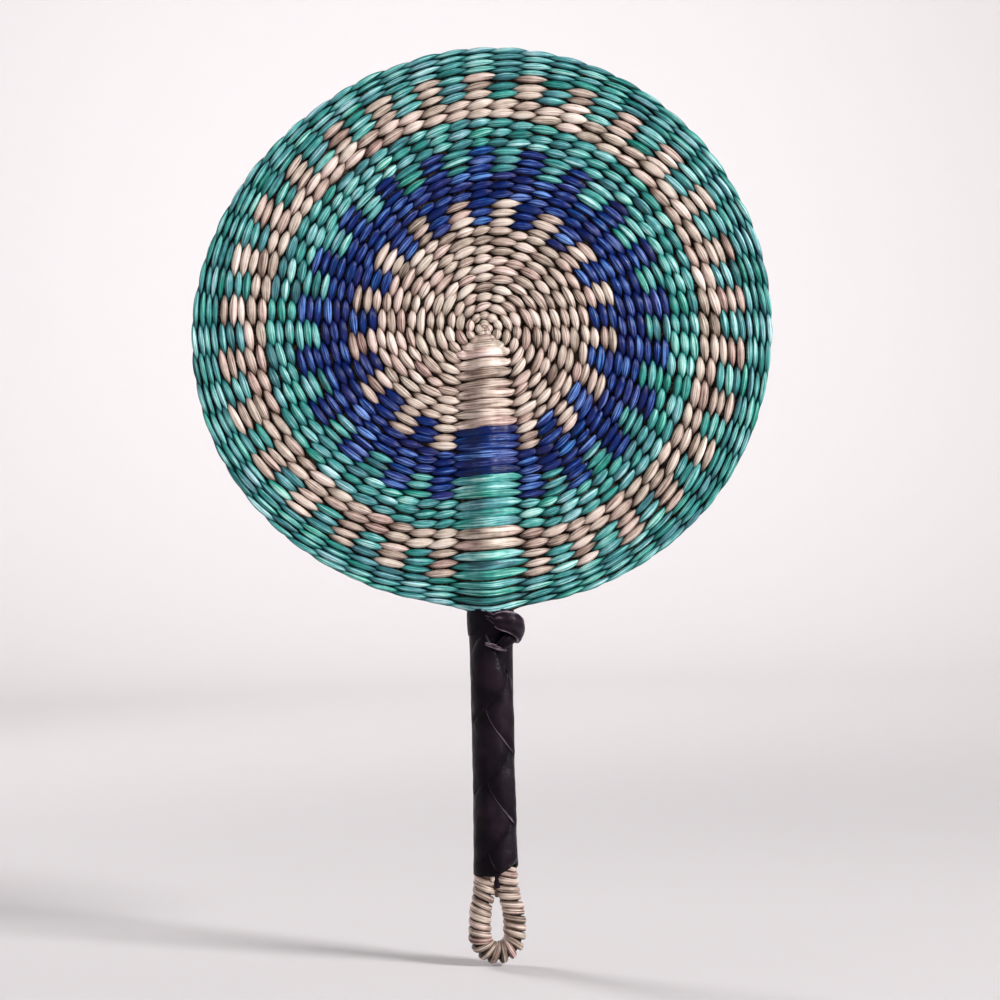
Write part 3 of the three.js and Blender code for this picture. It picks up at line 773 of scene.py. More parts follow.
@dataclass
class Stems:
    """The straw stems inside: the handle's bundle, the first spokes that it parts into, and the hairpins."""

    disc: Disc
    palette: Palette
    band_radius: float = 124.6
    core_end: float = -47.7
    hub_radius: float = 5.0
    root_drop: float = 3.2  # below the disc's centre, where the first spokes leave the bundle
    first_spokes: int = 7
    hairpin_sets: tuple = (  # where a set starts, and its hairpins
        (12.62, 2), (21.03, 2), (29.44, 4), (42.05, 4), (58.45, 5), (81.33, 8))
    width_share: float = 0.52  # half a spoke's width, as a share of the spokes' spacing
    half_depth: float = 1.3
    shaded_stem_tone: float = 0.06  # painted shade: stems in the weave's shade, drawn dark as that shade
    root_half: float = 0.8  # half a first spoke's width there
    bundle_top: float = 1.0  # below the disc's centre
    bundle_spread: float = 1.16  # how wide it lies under the floats, by their width
    tip_run: float = 7.0  # over which its tip opens
    thin_edge: float = 0.07  # how thick its sides lie there, by its middle
    ridges: int = 6
    ridge_depth: float = 0.05
    gather_run: float = 2.5  # over which it gathers at the rim
    bundle_rows: int = 140
    bundle_sides: int = 36
    steps: int = 6
    sides: int = 8

    def spoke_angle(self, place: int, count: int, radius: float) -> float:
        """Finds the angle of one of some spokes, evenly spaced over what isn't the handle."""
        return self.disc.beside(radius, place + 0.5, count)

    def lay(self) -> tuple[list[list], list[tuple[list, list]]]:
        """Walks every spoke from where it starts to the rim.

        Returns:
            The first spokes' paths, and each hairpin's two legs.
        """
        first: list[list] = [[] for _ in range(self.first_spokes)]
        hairpins: list[tuple[list, list]] = []
        order = list(first)
        starts = [self.hub_radius, *[start for start, _ in self.hairpin_sets], self.band_radius - SEAT_GAP]
        for stage, (inner, outer) in enumerate(zip(starts, starts[1:])):
            if stage:
                count = self.hairpin_sets[stage - 1][1]
                laid = [([], []) for _ in range(count)]
                hairpins.extend(laid)
                before = len(order)
                for i, legs in enumerate(laid):
                    gap = math.floor((i + 0.5) * before / count + 0.5)
                    order[gap + 2 * i:gap + 2 * i] = legs
            for place, spoke in enumerate(order):
                for radius in np.linspace(inner, outer, self.steps, endpoint=stage == len(starts) - 2):
                    angle = np.array(self.spoke_angle(place, len(order), radius))
                    half = self.width_share * radius * 2 * math.pi / (len(order) + 1)
                    spoke.append(np.append(self.disc.points(radius, angle, 0.0), half))
        return first, hairpins

    def stem(self, skin: Skin, line: np.ndarray) -> None:
        """Adds a flat bundle of stems along a path in the middle plane.

        Args:
            skin: the mesh that takes it.
            line: the points of its centre line, each with half its width.
        """
        path, half = line[:, :3], line[:, 3]
        lean = np.cross(np.gradient(path, axis=0), (0.0, 1.0, 0.0))
        rings = ring_sections(path, lean, half, np.full(len(path), self.half_depth), self.sides, closed=False)
        girth = math.pi * (half.mean() + self.half_depth)
        skin.sweep(rings, lengths(path, False), girth, np.full(len(path), self.shaded_stem_tone), closed=False)

    def bundle(self, skin: Skin) -> None:
        """Adds the handle's bundle, spread under the floats in the disc and round in the grip.

        Args:
            skin: the mesh that takes it.
        """
        heights = np.linspace(self.bundle_top, self.disc.centre_z - self.core_end, self.bundle_rows)[:, None]
        around = round_angles(self.bundle_sides)
        across, deep = self.bundle_spread * np.cos(around), self.disc.core_half(heights)
        spread_x = self.disc.float_half(heights) * across * np.sqrt(np.minimum(heights / self.tip_run, 1))
        drape = np.maximum(self.disc.drape(np.minimum(np.abs(across), 1)), self.thin_edge)
        spread_y = deep * drape * np.sign(np.sin(around) + 1e-9)
        ridge = 1 - self.ridge_depth * np.abs(np.sin(self.ridges * around))
        round_x, round_y = self.disc.core_radius * ridge * np.cos(around), deep * ridge * np.sin(around)
        in_disc = np.clip((self.band_radius - heights) / self.gather_run, 0, 1)
        x, y = round_x + (spread_x - round_x) * in_disc, round_y + (spread_y - round_y) * in_disc
        rings = np.stack([x, y, np.broadcast_to(self.disc.centre_z - heights, x.shape)], -1)
        tone = np.full(len(heights), self.shaded_stem_tone)
        skin.sweep(rings, heights[:, 0], 2 * math.pi * self.disc.core_radius, tone, closed=False)

    def build(self) -> None:
        """Makes the bundle with its first spokes, and every hairpin."""
        first, hairpins = self.lay()
        skin = Skin()
        self.bundle(skin)
        for line in first:
            self.stem(skin, np.array([(0.0, 0.0, self.disc.centre_z - self.root_drop, self.root_half), *line]))
        self.palette.dress(skin.build("stem_bundle"), Slot.STEMS, "handle_core")
        for number, (one, other) in enumerate(hairpins, 1):
            skin = Skin()
            middle = (one[0] + other[0]) / 2
            inward = np.array([0.0, 0.0, self.disc.centre_z, middle[3]]) - middle
            fold = middle + inward / np.linalg.norm(inward) * np.linalg.norm(one[0] - other[0]) / 2
            self.stem(skin, np.array([*one[::-1], fold, *other]))
            self.palette.dress(skin.build(f"hairpin_{number:02d}"), Slot.STEMS, f"spoke_hairpin_{number:02d}")


# The grip


def grip_points(radius: np.ndarray, angle: np.ndarray, z: np.ndarray) -> np.ndarray:
    """Finds points round the handle."""
    radius, angle, z = np.broadcast_arrays(radius, angle, z)
    return np.stack([radius * np.sin(angle), -radius * np.cos(angle), z], -1)


def crumple(points: np.ndarray, spacing: float, seed: float) -> np.ndarray:
    """Reads a smooth unevenness at points.

    Args:
        points: places, of any shape with three values last.
        spacing: how far apart its waves are.
        seed: which unevenness.

    Returns:
        Values from about -1 to 1.
    """
    flat = points.reshape(-1, 3) / spacing
    values = [noise.noise(Vector((x + seed, y, z))) for x, y, z in flat]
    return np.array(values).reshape(points.shape[:-1])


@dataclass(frozen=True)
class TongueRow:
    """One of the two rows of tongues that are laced over each other down the front."""

    tip: float  # degrees
    to_root: int  # which way round a tongue runs from its tip
    lift: float  # how high its lower edge stands
    root_run: float  # how softly it sinks into the cover, by the distance between the rows' tips
    raw_tone: float  # how pale its cut edge is


@dataclass
class Leather:
    """What the leather pieces share: the form of the rolled cover, and soft straps that lie on it."""

    palette: Palette
    half_length: float
    inner: float = 8.59
    thickness: float = 1.3
    waist: float = 0.6
    tuck_up: float = 3.4  # how far the leather runs up under the disc's rim
    turns: int = 72
    strap_sides: int = 28
    strap_girth: float = 20.0
    strap_edge_wear: float = 0.4
    crease: float = 0.13  # how deep a folded strap's creases go, as a share of its thickness
    crease_spacing: float = 2.6
    # painted shade: how much darker a strap is drawn in its creases, and lighter on its ridges
    crease_shading: float = 0.28
    pleats: int = 7  # of a gathered strap, round it
    pleat_twist: float = 3.0
    seed: float = 4.7

    @property
    def outer(self) -> float:
        """The cover's outer radius at its ends."""
        return self.inner + self.thickness

    def surface(self, z: np.ndarray) -> np.ndarray:
        """Works out the cover's outer radius at a height."""
        return self.outer - self.waist * (1 - np.minimum(np.abs(z / self.half_length), 1) ** 2)

    def uneven(self, radius: np.ndarray, angle: np.ndarray, z: np.ndarray, waves: tuple, number: int = 0) -> np.ndarray:
        """Works out how far the leather departs from a smooth form.

        Args:
            radius: the form's radius.
            angle: angles round the handle.
            z: heights.
            waves: height and spacing of the unevenness.
            number: which unevenness.

        Returns:
            Distances to add to the radius.
        """
        height, spacing = waves
        return height * crumple(grip_points(radius, angle, z), spacing, self.seed + number)

    def strap(self, skin: Skin, path: np.ndarray, width: np.ndarray, thickness: np.ndarray, lean: np.ndarray,
              wear_and_shading: float) -> None:
        """Adds a soft flat strap along a path.

        Args:
            skin: the mesh that takes it.
            path: its centre line.
            width: its widths.
            thickness: its thicknesses.
            lean: directions that its width follows.
            wear_and_shading: its base tone, from wear, with painted shade on the knot's lower fold and a painted
                highlight on the free end.
        """
        rings = ring_sections(path, lean, width / 2, thickness / 2, self.strap_sides, closed=False)
        around = round_angles(self.strap_sides)
        pleats = np.cos(self.pleats * around + self.pleat_twist * np.linspace(0, 1, len(path))[:, None])
        creases = (crumple(rings, self.crease_spacing, self.seed) + pleats) / 2
        rings += (rings - path[:, None]) * (self.crease * creases)[..., None]
        tone = wear_and_shading + self.strap_edge_wear * np.abs(np.cos(around)) ** 6 + self.crease_shading * creases
        skin.sweep(rings, lengths(path, False), self.strap_girth, tone, closed=False)


@dataclass
class Cover(Leather):
    """The rolled sheet of the grip, whose edges are cut into tongues and laced over each other."""

    rows: int = 90
    row_length: float = 1.3
    slant: float = 5.4  # how far the lower edge rises at the right
    slant_reach: float = 0.7  # and how far round to the back, as a cosine
    slant_fade: int = 6  # how soon the sheet above is straight again
    sheet_waves: tuple = (0.26, 7.0)  # height and spacing of the sheet's unevenness
    sheet_tone: float = 0.3
    inside_tone: float = 0.2
    back_painted_light: float = 0.34  # painted light: how much lighter its plain back is drawn, which the key lamp leaves in shade
    left: TongueRow = TongueRow(-14.0, 1, 1.6, 0.8, 0.75)
    right: TongueRow = TongueRow(44.0, -1, 0.6, 1.5, 0.25)
    tongues: int = 6
    tongue_pitch: float = 31.5
    first_tip: float = 16.0  # the height of the uppermost tip at the left
    tongue_fall: float = 17.8  # from a tip at the left down to the next at the right
    root_reach: float = 150.0  # degrees from a tongue's tip to its root
    root_start: float = 0.95  # where it starts to sink in, by the distance between the rows' tips
    root_falls: tuple = (0.5, 0.6)  # how steeply its lower and upper edges run on to the root
    lower_bow: float = 0.7  # below 1 the lower edge bows out
    tuck: float = 3.0  # how far a tongue runs up under the one above it
    tip_tuck: float = 0.25  # and its tip, as a share of that
    margins: tuple = (0.4, 1.0)  # what it keeps from the cover's lower and upper edge
    tongue_thickness: float = 1.3
    edge_width: float = 1.1  # over which it rounds off, and its cut edge shows
    tip_round: float = 0.05
    least_edge: float = 0.02
    plumpness: float = 1.15
    plump_reach: float = 0.5
    lift_fade: float = 1.3
    clearance: float = 0.15
    hem: float = 4.0  # above the cover's lower edge, where it lies down
    sink: float = 0.8  # how far into the cover
    tongue_waves: tuple = (0.28, 5.0)
    tongue_tone: float = 0.24
    # painted sheen: how much lighter a tongue's plump middle is drawn
    plump_sheen: float = 0.32
    tongue_rows: int = 44
    tongue_columns: int = 18
    tongue_girth: float = 30.0
    lace_start: tuple = (0.2, -2.4, 3.0)  # where the lace's end leaves the seam, from the cover's lower edge
    lace_run: tuple = (0.5, -0.8, -9.0)  # and how it hangs
    lace_points: int = 12
    lace_width: float = 3.8
    lace_thickness: float = 1.8
    lace_tone: float = 0.48

    def lower_edge(self, angle: np.ndarray) -> np.ndarray:
        """Works out the height of the cover's lower edge, which is cut at a slant at the right."""
        at_right = np.clip(np.sin(angle), 0, 1) * np.clip(np.cos(angle) + self.slant_reach, 0, 1)
        return self.slant * at_right - self.half_length

    def sheet(self, skin: Skin) -> None:
        """Adds the rolled sheet, slightly uneven, with its lower edge cut at a slant.

        Args:
            skin: the mesh that takes it.
        """
        angle = round_angles(self.turns)
        height = np.linspace(self.half_length + self.tuck_up, -self.half_length, self.rows)
        low = np.clip(-height / self.half_length, 0, 1)[:, None] ** self.slant_fade
        z = height[:, None] + (self.lower_edge(angle) + self.half_length) * low
        smooth = self.surface(z)
        outside = grip_points(smooth + self.uneven(smooth, angle, z, self.sheet_waves), angle, z)
        inside = grip_points(np.full_like(z, self.inner), angle, z)
        rings = np.concatenate([outside, inside[::-1]])
        lit_back = np.broadcast_to(self.sheet_tone + self.back_painted_light * np.maximum(-np.cos(angle), 0), z.shape)
        tone = np.concatenate([lit_back, np.full_like(z, self.inside_tone)])
        along = np.arange(2 * self.rows + 1) * self.row_length
        skin.sweep(rings, along, 2 * math.pi * self.outer, tone, closed=True)

    def tip_height(self, number: int) -> float:
        """Works out the height of a tongue's tip: even numbers are at the right, odd ones at the left."""
        pair, left = divmod(number - 1, 2)
        return self.first_tip - pair * self.tongue_pitch - (self.tongue_fall if left else 0)

    def tongue(self, skin: Skin, number: int) -> None:
        """Adds one tongue: a plump leaf tucked under the one above, whose lower edge lies on the next.

        Args:
            skin: the mesh that takes it.
            number: its place down the seam.
        """
        row = self.left if number % 2 else self.right
        reach = np.linspace(0, math.radians(self.root_reach), self.tongue_rows)
        share = reach / math.radians(self.right.tip - self.left.tip)
        within, beyond = np.minimum(share, 1), np.maximum(share - 1, 0)
        top, below, above = (self.tip_height(number + step) for step in (0, 1, -1))
        lower = top - (top - below) * (within ** self.lower_bow + self.root_falls[0] * beyond)
        upper = top + (above - top) * (within - self.root_falls[1] * beyond) + self.tuck * (self.tip_tuck + within)
        share, lower, upper = share[:, None], lower[:, None], upper[:, None]
        across = np.linspace(0, 1, self.tongue_columns)
        z = lower + (upper - lower) * across
        angle = np.broadcast_to((math.radians(row.tip) + row.to_root * reach)[:, None], z.shape)
        lowest = self.lower_edge(angle)
        z = np.clip(z, lowest + self.margins[0], self.half_length - self.margins[1])
        root, low = ease((share - self.root_start) / row.root_run), np.clip(1 - (z - lowest) / self.hem, 0, 1)
        shown = (1 - root) * (1 - low)
        room = np.minimum(np.minimum(z - lower, upper - z) / self.edge_width, share / self.tip_round)
        half = self.tongue_thickness / 2 * np.sqrt(np.clip(room, self.least_edge, 1))
        pillow = self.plumpness * np.sin(math.pi * across) * np.minimum(share / self.plump_reach, 1)
        lift = row.lift * (1 - across) ** self.lift_fade + pillow + self.clearance
        smooth = self.surface(z)
        middle = smooth + lift * shown - self.sink * np.maximum(root, low)
        middle = middle + self.uneven(smooth, angle, z, self.tongue_waves, number)
        outside, inside = (grip_points(middle + off, angle, z) for off in (half, -half))
        rings = np.concatenate([outside, inside[:, ::-1]], axis=1)
        raw = row.raw_tone * np.exp(-(z - lower) / self.edge_width)
        # painted sheen on the plump middle, with the pale cut edge
        rubbed_and_sheen = self.tongue_tone + (raw + self.plump_sheen * pillow) * shown
        tone = np.concatenate([rubbed_and_sheen, rubbed_and_sheen[:, ::-1]], axis=1)
        skin.sweep(rings, lengths(outside[:, 0], False), self.tongue_girth, tone, closed=False)

    def lace_end(self, skin: Skin) -> None:
        """Adds the end of the lace that hangs out below the cover.

        Args:
            skin: the mesh that takes it.
        """
        share = np.linspace(0, 1, self.lace_points)
        path = np.array(self.lace_start) + np.outer(share, self.lace_run)
        path[:, 2] -= self.half_length
        lean = np.broadcast_to((1.0, 0.0, 0.0), path.shape)
        width, thickness = self.lace_width * np.sqrt(1 - 0.6 * share ** 8), np.full_like(share, self.lace_thickness)
        self.strap(skin, path, width, thickness, lean, self.lace_tone)

    def build(self) -> None:
        """Makes the sheet with its tongues and its lace's end."""
        skin = Skin()
        self.sheet(skin)
        for number in range(self.tongues):
            self.tongue(skin, number)
        self.lace_end(skin)
        self.palette.dress(skin.build("cover_with_tongues"), Slot.LEATHER, "leather_cover")


@dataclass
class Thong(Leather):
    """The thong round the cover's top, with its knot and its free end."""

    height: float = 11.5
    drop: float = 0.6  # below the cover's upper edge
    strap_thickness: float = 0.5
    bulge: float = 0.9  # how much thicker it lies beside its knot
    narrowing: float = 0.45  # and how much lower
    bite: float = 0.15  # how far it presses into the cover
    squareness: float = 0.6  # below 1 its section is squarer than an oval
    waves: tuple = (0.3, 5.0)  # height and spacing of its unevenness
    rise: float = 0.1  # how far it stands out besides
    tone: float = 0.32
    edge_wear: float = 0.35
    sides: int = 14
    side_length: float = 1.5
    knot_angle: float = 45.0
    knot_reach: float = 0.7  # radians
    fold_heights: tuple = (57.6, 59.8)  # of its two small folds that run down to the knot
    fold_fall: float = 5.4
    fold_angles: tuple = (-12.0, 26.0)
    fold_off: float = 0.9
    fold_width: float = 1.5
    fold_thickness: float = 0.7
    fold_tone: float = 0.62
    fold_points: int = 16
    knot_folds: tuple = (  # angles, heights and distances off the thong, then width, thickness and tone: the lower fold is painted dark as shade under the upper one
        ((8, 26, 46, 63, 70), (55.6, 55.2, 53.0, 49.0, 45.4), (0.6, 2.6, 4.0, 2.8, 0.4), 9.6, 3.4, 0.52),
        ((72, 60, 44, 28, 20), (54.3, 51.8, 48.2, 45.6, 44.2), (0.2, 1.6, 1.9, 1.2, 0.2), 5.6, 2.6, 0.22),
    )
    knot_off: float = 1.8
    knot_pinch: float = 0.55  # what a fold's ends keep of its width
    knot_points: int = 25
    tail_angles: tuple = (34.0, -12.0)
    tail_heights: tuple = (42.1, 45.4)
    tail_off: float = 1.7
    tail_width: float = 1.9
    tail_thickness: float = 1.2
    # pale as a cut edge, and paler still as a painted highlight
    tail_tone: float = 0.72
    tail_points: int = 20

    def turn(self) -> None:
        """Makes the thong: one turn round the cover's top, drawn in towards its knot in two small folds."""
        skin = Skin()
        angle, around = round_angles(self.turns), round_angles(self.sides)[:, None]
        off_knot = np.angle(np.exp(1j * (angle - math.radians(self.knot_angle))))
        near = np.exp(-(off_knot / self.knot_reach) ** 2)
        half = self.height / 2 * (1 - self.narrowing * near)
        mid = self.half_length + self.tuck_up - self.drop - self.height / 2
        z = mid + np.sign(np.sin(around)) * np.abs(np.sin(around)) ** self.squareness * half
        thick = self.strap_thickness + self.bulge * near
        radius = self.outer - self.bite + (1 + np.cos(around)) * thick / 2
        bulge = (self.uneven(radius, angle, z, self.waves) + self.rise) * (np.cos(around) > 0)
        rings = grip_points(radius + bulge, angle, z)
        tone = np.broadcast_to(self.tone + self.edge_wear * np.abs(np.sin(around)) ** 8, rings.shape[:2])
        along = np.arange(self.sides + 1) * self.side_length
        skin.sweep(rings, along, 2 * math.pi * self.outer, tone, closed=True)
        share = np.linspace(0, 1, self.fold_points)
        for height in self.fold_heights:
            angle = np.radians(np.linspace(*self.fold_angles, len(share)))
            path = grip_points(self.outer + self.fold_off * (1 + share), angle, height - self.fold_fall * share)
            lean = np.broadcast_to((0.0, 0.0, 1.0), path.shape)
            width = self.fold_width * np.sin(math.pi * (0.1 + 0.8 * share))
            self.strap(skin, path, width, np.full_like(share, self.fold_thickness), lean, self.fold_tone)
        self.palette.dress(skin.build("thong_turn"), Slot.LEATHER, "top_thong")

    def knot(self) -> None:
        """Makes the knot: a plump fold of the thong over a second one that crosses below it, painted dark as shade."""
        skin = Skin()
        share = np.linspace(0, 1, self.knot_points)
        swell = self.knot_pinch + (1 - self.knot_pinch) * np.sin(math.pi * share) ** 0.7
        for *lines, width, thickness, wear_and_shading in self.knot_folds:
            places = np.linspace(0, 1, len(lines[0]))
            degrees, z, off = (np.polyval(np.polyfit(places, values, len(places) - 1), share) for values in lines)
            path = grip_points(self.outer + self.knot_off + off, np.radians(degrees), z)
            outward = grip_points(np.ones_like(share), np.radians(degrees), np.zeros_like(share))
            lean = np.cross(np.gradient(path, axis=0), outward)
            self.strap(skin, path, width * swell, thickness * swell, lean, wear_and_shading)
        self.palette.dress(skin.build("thong_fold_knot"), Slot.LEATHER, "thong_knot")

    def tail(self) -> None:
        """Makes the thong's free end, which lies slanted on the cover below the knot."""
        skin = Skin()
        share = np.linspace(0, 1, self.tail_points)
        angle, z = (np.linspace(*ends, len(share)) for ends in (np.radians(self.tail_angles), self.tail_heights))
        path = grip_points(self.outer + SEAT_GAP + self.tail_off, angle, z)
        lean = np.broadcast_to((0.0, 0.0, 1.0), path.shape)
        taper = np.sqrt(np.sin(math.pi * (0.08 + 0.84 * share)))
        self.strap(skin, path, self.tail_width * taper, self.tail_thickness * taper, lean, self.tail_tone)
        self.palette.dress(skin.build("thong_end"), Slot.LEATHER, "thong_tail")

    def build(self) -> None:
        """Makes the turn, the knot and the free end."""
        self.turn()
        self.knot()
        self.tail()


# The hanging loop


@dataclass
class HangingLoop:
    """A bent bundle of straw that hangs the fan, bound from end to end with one straw."""

    palette: Palette
    cover_bottom: float
    drop: float = 35.0
    half_width: float = 7.7
    arm_half: float = 4.6
    throat: tuple = (3.8, 14.0)  # half width and drop of the point that draws the arms together
    flare: tuple = (8.4, 10.0)  # and of the point that draws them apart round the eye
    arm_depth: float = 9.0
    core_radius: float = 3.2
    # painted shade: the bundle is drawn dark, seen only in the shade between the binding's turns
    core_shade_tone: float = 0.08
    core_sides: int = 16
    line_steps: int = 80
    binding_half_thickness: float = 0.875
    binding_rise: tuple = (1.2, 5.8)  # how far it runs up under the leather, at the left and at the right
    slant: float = 0.7  # how far a turn leans along the arm
    turns: int = 26
    wobble: float = 0.16  # how far a turn strays, in turns
    packing: float = 0.48  # half a turn's width, as a share of the turns' spacing
    size_change: float = 0.12  # from half turn to half turn
    squeeze_run: float = 4.0  # how soon it is pressed under the leather
    most_squeeze: float = 0.72
    tone: float = 0.47
    tone_change: float = 0.12
    gap_shade: float = 0.45
    half_round: float = 0.9  # half the straw's thickness before it is wound
    ends: tuple = (  # across, from the middle plane, drop below the leather, half width and tone: the short stub is painted pale as a highlight and the long one dark as shade
        (-1.8, -4.0, 3.0, 1.1, 0.7), (-0.1, 0.6, 10.5, 1.7, 0.2))
    end_rise: float = 3.0
    end_drift: tuple = (0.3, 0.4)  # to the right and to the front
    end_girth: float = 8.0
    end_points: int = 8
    turn_steps: int = 20
    sides: int = 10
    seed: int = 23

    def line(self, count: int) -> np.ndarray:
        """Finds evenly spaced points of the loop's centre line: an arm, a half round and an arm.

        Args:
            count: how many points.

        Returns:
            The points.
        """
        low = self.cover_bottom - self.drop + self.half_width
        bends = [self.cover_bottom - drop for _, drop in (self.throat, self.flare)]
        heights = (self.cover_bottom + self.arm_depth, *bends, low)
        widths = (self.arm_half, self.throat[0], self.flare[0], self.half_width)
        t = np.linspace(0, 1, self.line_steps)
        weights = ((1 - t) ** 3, 3 * t * (1 - t) ** 2, 3 * t * t * (1 - t), t ** 3)
        x, z = (sum(w * v for w, v in zip(weights, values)) for values in (widths, heights))
        turn = np.linspace(math.pi, 2 * math.pi, self.line_steps)[1:-1]
        xs = np.concatenate([-x, self.half_width * np.cos(turn), x[::-1]])
        zs = np.concatenate([z, low + self.half_width * np.sin(turn), z[::-1]])
        path = np.stack([xs, np.zeros_like(xs), zs], -1)
        along = lengths(path, False)
        return between(np.linspace(0, along[-1], count), along, path)

    def core(self) -> None:
        """Makes the bent bundle."""
        skin = Skin()
        path = self.line(self.line_steps)
        lean = np.broadcast_to((0.0, 1.0, 0.0), path.shape)
        half, tone = (np.full(len(path), value) for value in (self.core_radius, self.core_shade_tone))
        rings = ring_sections(path, lean, half, half, self.core_sides, closed=False)
        skin.sweep(rings, lengths(path, False), 2 * math.pi * self.core_radius, tone, closed=False)
        self.palette.dress(skin.build("loop_bundle"), Slot.STEMS, "loop_core")

    def binding(self) -> None:
        """Makes the binding straw, wound a little unevenly, and its two ends between the arms."""
        skin = Skin()
        chance = np.random.default_rng(self.seed)
        line = self.line(10 * self.line_steps)
        length = lengths(line, False)[-1]
        start, stop = (self.arm_depth - rise for rise in self.binding_rise)
        pitch = (length - start - stop) / self.turns
        turn = np.linspace(0, self.turns, self.turns * self.turn_steps + 1)
        wholes, halves = np.arange(self.turns + 1), np.arange(2 * self.turns + 1) / 2
        strayed = turn + np.interp(turn, wholes, chance.uniform(-self.wobble, self.wobble, len(wholes)))
        place, steps = (start + pitch * strayed) / length * (len(line) - 1), np.arange(len(line))
        middle, along = (between(place, steps, values) for values in (line, np.gradient(line, axis=0)))
        along /= np.linalg.norm(along, axis=1, keepdims=True)
        outward = np.stack([along[:, 2], np.zeros_like(turn), -along[:, 0]], -1)
        around = -2 * math.pi * turn[:, None]
        off = outward * np.cos(around) + np.array((0.0, 1.0, 0.0)) * np.sin(around)
        full = np.interp(turn, halves, 1 + self.size_change * chance.uniform(-1, 1, len(halves)))
        full *= np.clip(1 - (middle[:, 2] - self.cover_bottom) / self.squeeze_run, self.most_squeeze, 1)
        thick = self.binding_half_thickness * full
        path = middle + off * (self.core_radius + SEAT_GAP / 2 + thick)[:, None] - along * self.slant * np.cos(around)
        rings = ring_sections(path, along, self.packing * pitch * full, thick, self.sides, closed=False)
        varied = np.interp(turn, halves, self.tone + self.tone_change * chance.normal(size=len(halves)))
        tone = varied[:, None] - self.gap_shade * np.abs(np.cos(round_angles(self.sides))) ** 3
        skin.sweep(rings, lengths(path, False), math.pi * (pitch / 2 + self.half_round), tone, closed=False)
        self.loose_ends(skin)
        self.palette.dress(skin.build("loop_binding_straw"), Slot.NATURAL, "loop_binding")

    def loose_ends(self, skin: Skin) -> None:
        """Adds the binding's two ends between the arms below the leather, a stub painted pale as a highlight and a
        longer one painted dark as shade.

        Args:
            skin: the mesh that takes them.
        """
        share = np.linspace(0, 1, self.end_points)
        right, front = self.end_drift
        for x, y, drop, width, tone in self.ends:
            z = self.cover_bottom + self.end_rise - (drop + self.end_rise) * share
            path = np.stack([x + right * share, y - front * share, z], -1)
            lean = np.broadcast_to((1.0, 0.0, 0.0), path.shape)
            half = width * np.sqrt(1 - 0.8 * share ** 8)
            rings = ring_sections(path, lean, half, half, self.sides, closed=False)
            skin.sweep(rings, lengths(path, False), self.end_girth, np.full_like(share, tone), closed=False)

    def build(self) -> None:
        """Makes the bundle and its binding."""
        self.core()
        self.binding()


# The studio


@dataclass(frozen=True)
class Lamp:
    """A soft square lamp, in metres, watts and degrees."""

    name: str
    place: tuple
    side: float
    power: float
    target: tuple = (0, 0, 0.12)  # the disc
    spread: float = 110.0

    def build(self) -> None:
        """Makes the lamp, which the camera doesn't see."""
        data = bpy.data.lights.new(self.name, "AREA")
        data.size, data.energy, data.spread = self.side, self.power, math.radians(self.spread)
        lamp = bpy.data.objects.new(self.name, data)
        lamp.location = self.place
        lamp.visible_camera = False
        lamp.rotation_euler = (Vector(self.target) - lamp.location).to_track_quat("-Z", "Y").to_euler()
        bpy.context.scene.collection.objects.link(lamp)


LAMPS = (
    Lamp("key", (2.17, -1.29, 1.365), 0.675, 36.6),
    Lamp("back", (-1.1, 1.0, 1.0), 0.5, 6.4),
    Lamp("far_wall", (0, 0.7, 1.7), 1.6, 22.5, (0, 2.6, 0.45), 105.0),
    Lamp("near_wall", (0, -0.9, 1.6), 1.6, 26.0, (0, -2.8, 1.2), 170.0),
    Lamp("left_wall", (-0.9, 0, 1.6), 1.6, 26.0, (-2.8, 0, 1.2), 170.0),
    Lamp("right_wall", (0.9, 0, 1.6), 1.6, 26.0, (2.8, 0, 1.2), 170.0),
)


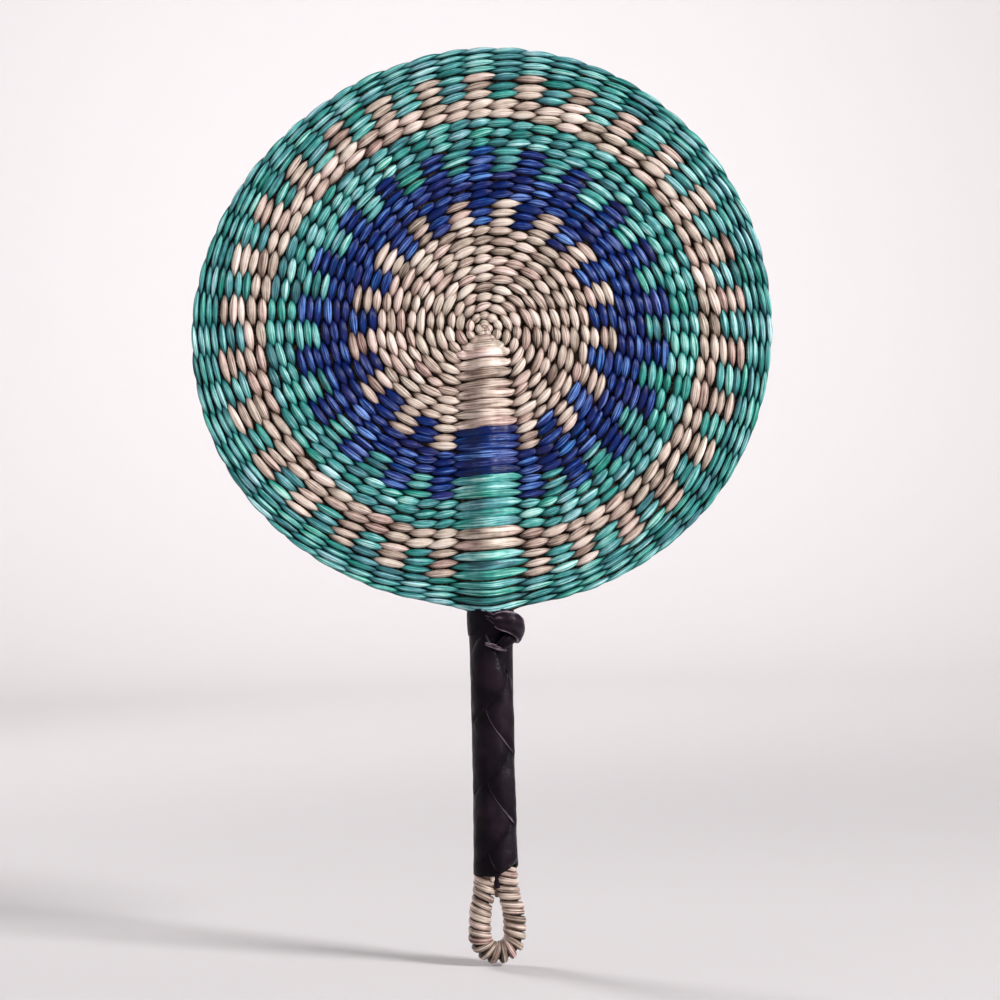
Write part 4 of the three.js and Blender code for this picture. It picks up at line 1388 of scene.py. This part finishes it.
@dataclass
class Studio:
    """A round sweep of pale paper, soft lights, and a camera square to the fan's front."""

    disc: Disc
    floor_z: float
    image_mm: float = 442.0  # what the image's side measures at the fan
    lens: float = 85.0
    sensor: float = 36.0
    clip_end: float = 50.0  # metres
    aim_right: float = 5.4  # from the handle's axis
    aim_down: float = 75.3  # from the disc's centre
    roll: float = 1.26  # degrees: the fan leans in the picture
    paper_middle: float = 200.0  # radius of the sheet's first round
    cove_start: float = 1600.0
    cove_radius: float = 1200.0
    cove_steps: int = 24
    wall_height: float = 3000.0
    paper_turns: int = 96
    world: str = "#E9E6E7"
    world_strength: float = 0.08

    def camera(self) -> None:
        """Makes the camera."""
        data = bpy.data.cameras.new("camera")
        data.lens, data.sensor_width, data.clip_end = self.lens, self.sensor, self.clip_end
        camera = bpy.data.objects.new("camera", data)
        distance = self.image_mm * self.lens / self.sensor
        lean = math.radians(self.roll)
        right = Vector((math.cos(lean), 0, -math.sin(lean)))
        up = Vector((math.sin(lean), 0, math.cos(lean)))
        turned = Matrix((right, up, Vector((0, -1, 0)))).transposed().to_4x4()
        place = Vector((self.aim_right, -distance, self.disc.centre_z - self.aim_down)) * MM
        camera.matrix_world = Matrix.Translation(place) @ turned
        bpy.context.scene.collection.objects.link(camera)
        bpy.context.scene.camera = camera

    def paper(self) -> None:
        """Makes the paper: flat under the fan, and curved up far from it on every side."""
        turn = np.linspace(0, math.pi / 2, self.cove_steps)
        reach = self.cove_start + self.cove_radius * np.sin(turn)
        reach = np.concatenate([[self.paper_middle], reach, reach[-1:]])[:, None]
        height = np.concatenate([[0.0], self.cove_radius * (1 - np.cos(turn)), [self.wall_height]])[:, None]
        count, around = self.paper_turns, round_angles(self.paper_turns)
        x, y = reach * np.cos(around), reach * np.sin(around)
        z = np.broadcast_to(self.floor_z + height, x.shape)
        faces = [list(range(count))]
        for low in range(0, (len(reach) - 1) * count, count):
            high = low + count
            for place in range(count):
                beside = (place + 1) % count
                faces.append([low + beside, low + place, high + place, high + beside])
        mesh = bpy.data.meshes.new("paper")
        mesh.from_pydata((np.stack([x, y, z], -1).reshape(-1, 3) * MM).tolist(), [], faces)
        mesh.polygons.foreach_set("use_smooth", np.ones(len(faces), dtype=bool))
        mesh.materials.append(PaperFinish().build())
        paper = bpy.data.objects.new("paper", mesh)
        bpy.context.scene.collection.objects.link(paper)

    def build(self) -> None:
        """Makes the paper, the lights, the sky and the camera."""
        self.paper()
        for lamp in LAMPS:
            lamp.build()
        world = bpy.data.worlds.new("studio")
        world.use_nodes = True
        sky = world.node_tree.nodes["Background"]
        sky.inputs["Color"].default_value = linear(self.world)
        sky.inputs["Strength"].default_value = self.world_strength
        bpy.context.scene.world = world
        bpy.context.scene.view_settings.view_transform = "Standard"
        self.camera()


def main() -> None:
    """Builds the fan and its studio."""
    logging.basicConfig(level=logging.INFO, format="%(name)s: %(message)s")
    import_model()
    cover_low, cover_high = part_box("leather_cover")
    palette = Palette()
    disc = Disc(cover_high.z / MM)
    for assembly in (
        Weave(disc, palette),
        Stems(disc, palette),
        Cover(palette, cover_high.z / MM),
        Thong(palette, cover_high.z / MM),
        HangingLoop(palette, cover_low.z / MM),
        Studio(disc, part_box("loop_binding")[0].z / MM - FLOOR_GAP),
    ):
        LOG.info("building %s", type(assembly).__name__)
        assembly.build()


if __name__ == "__main__":
    main()
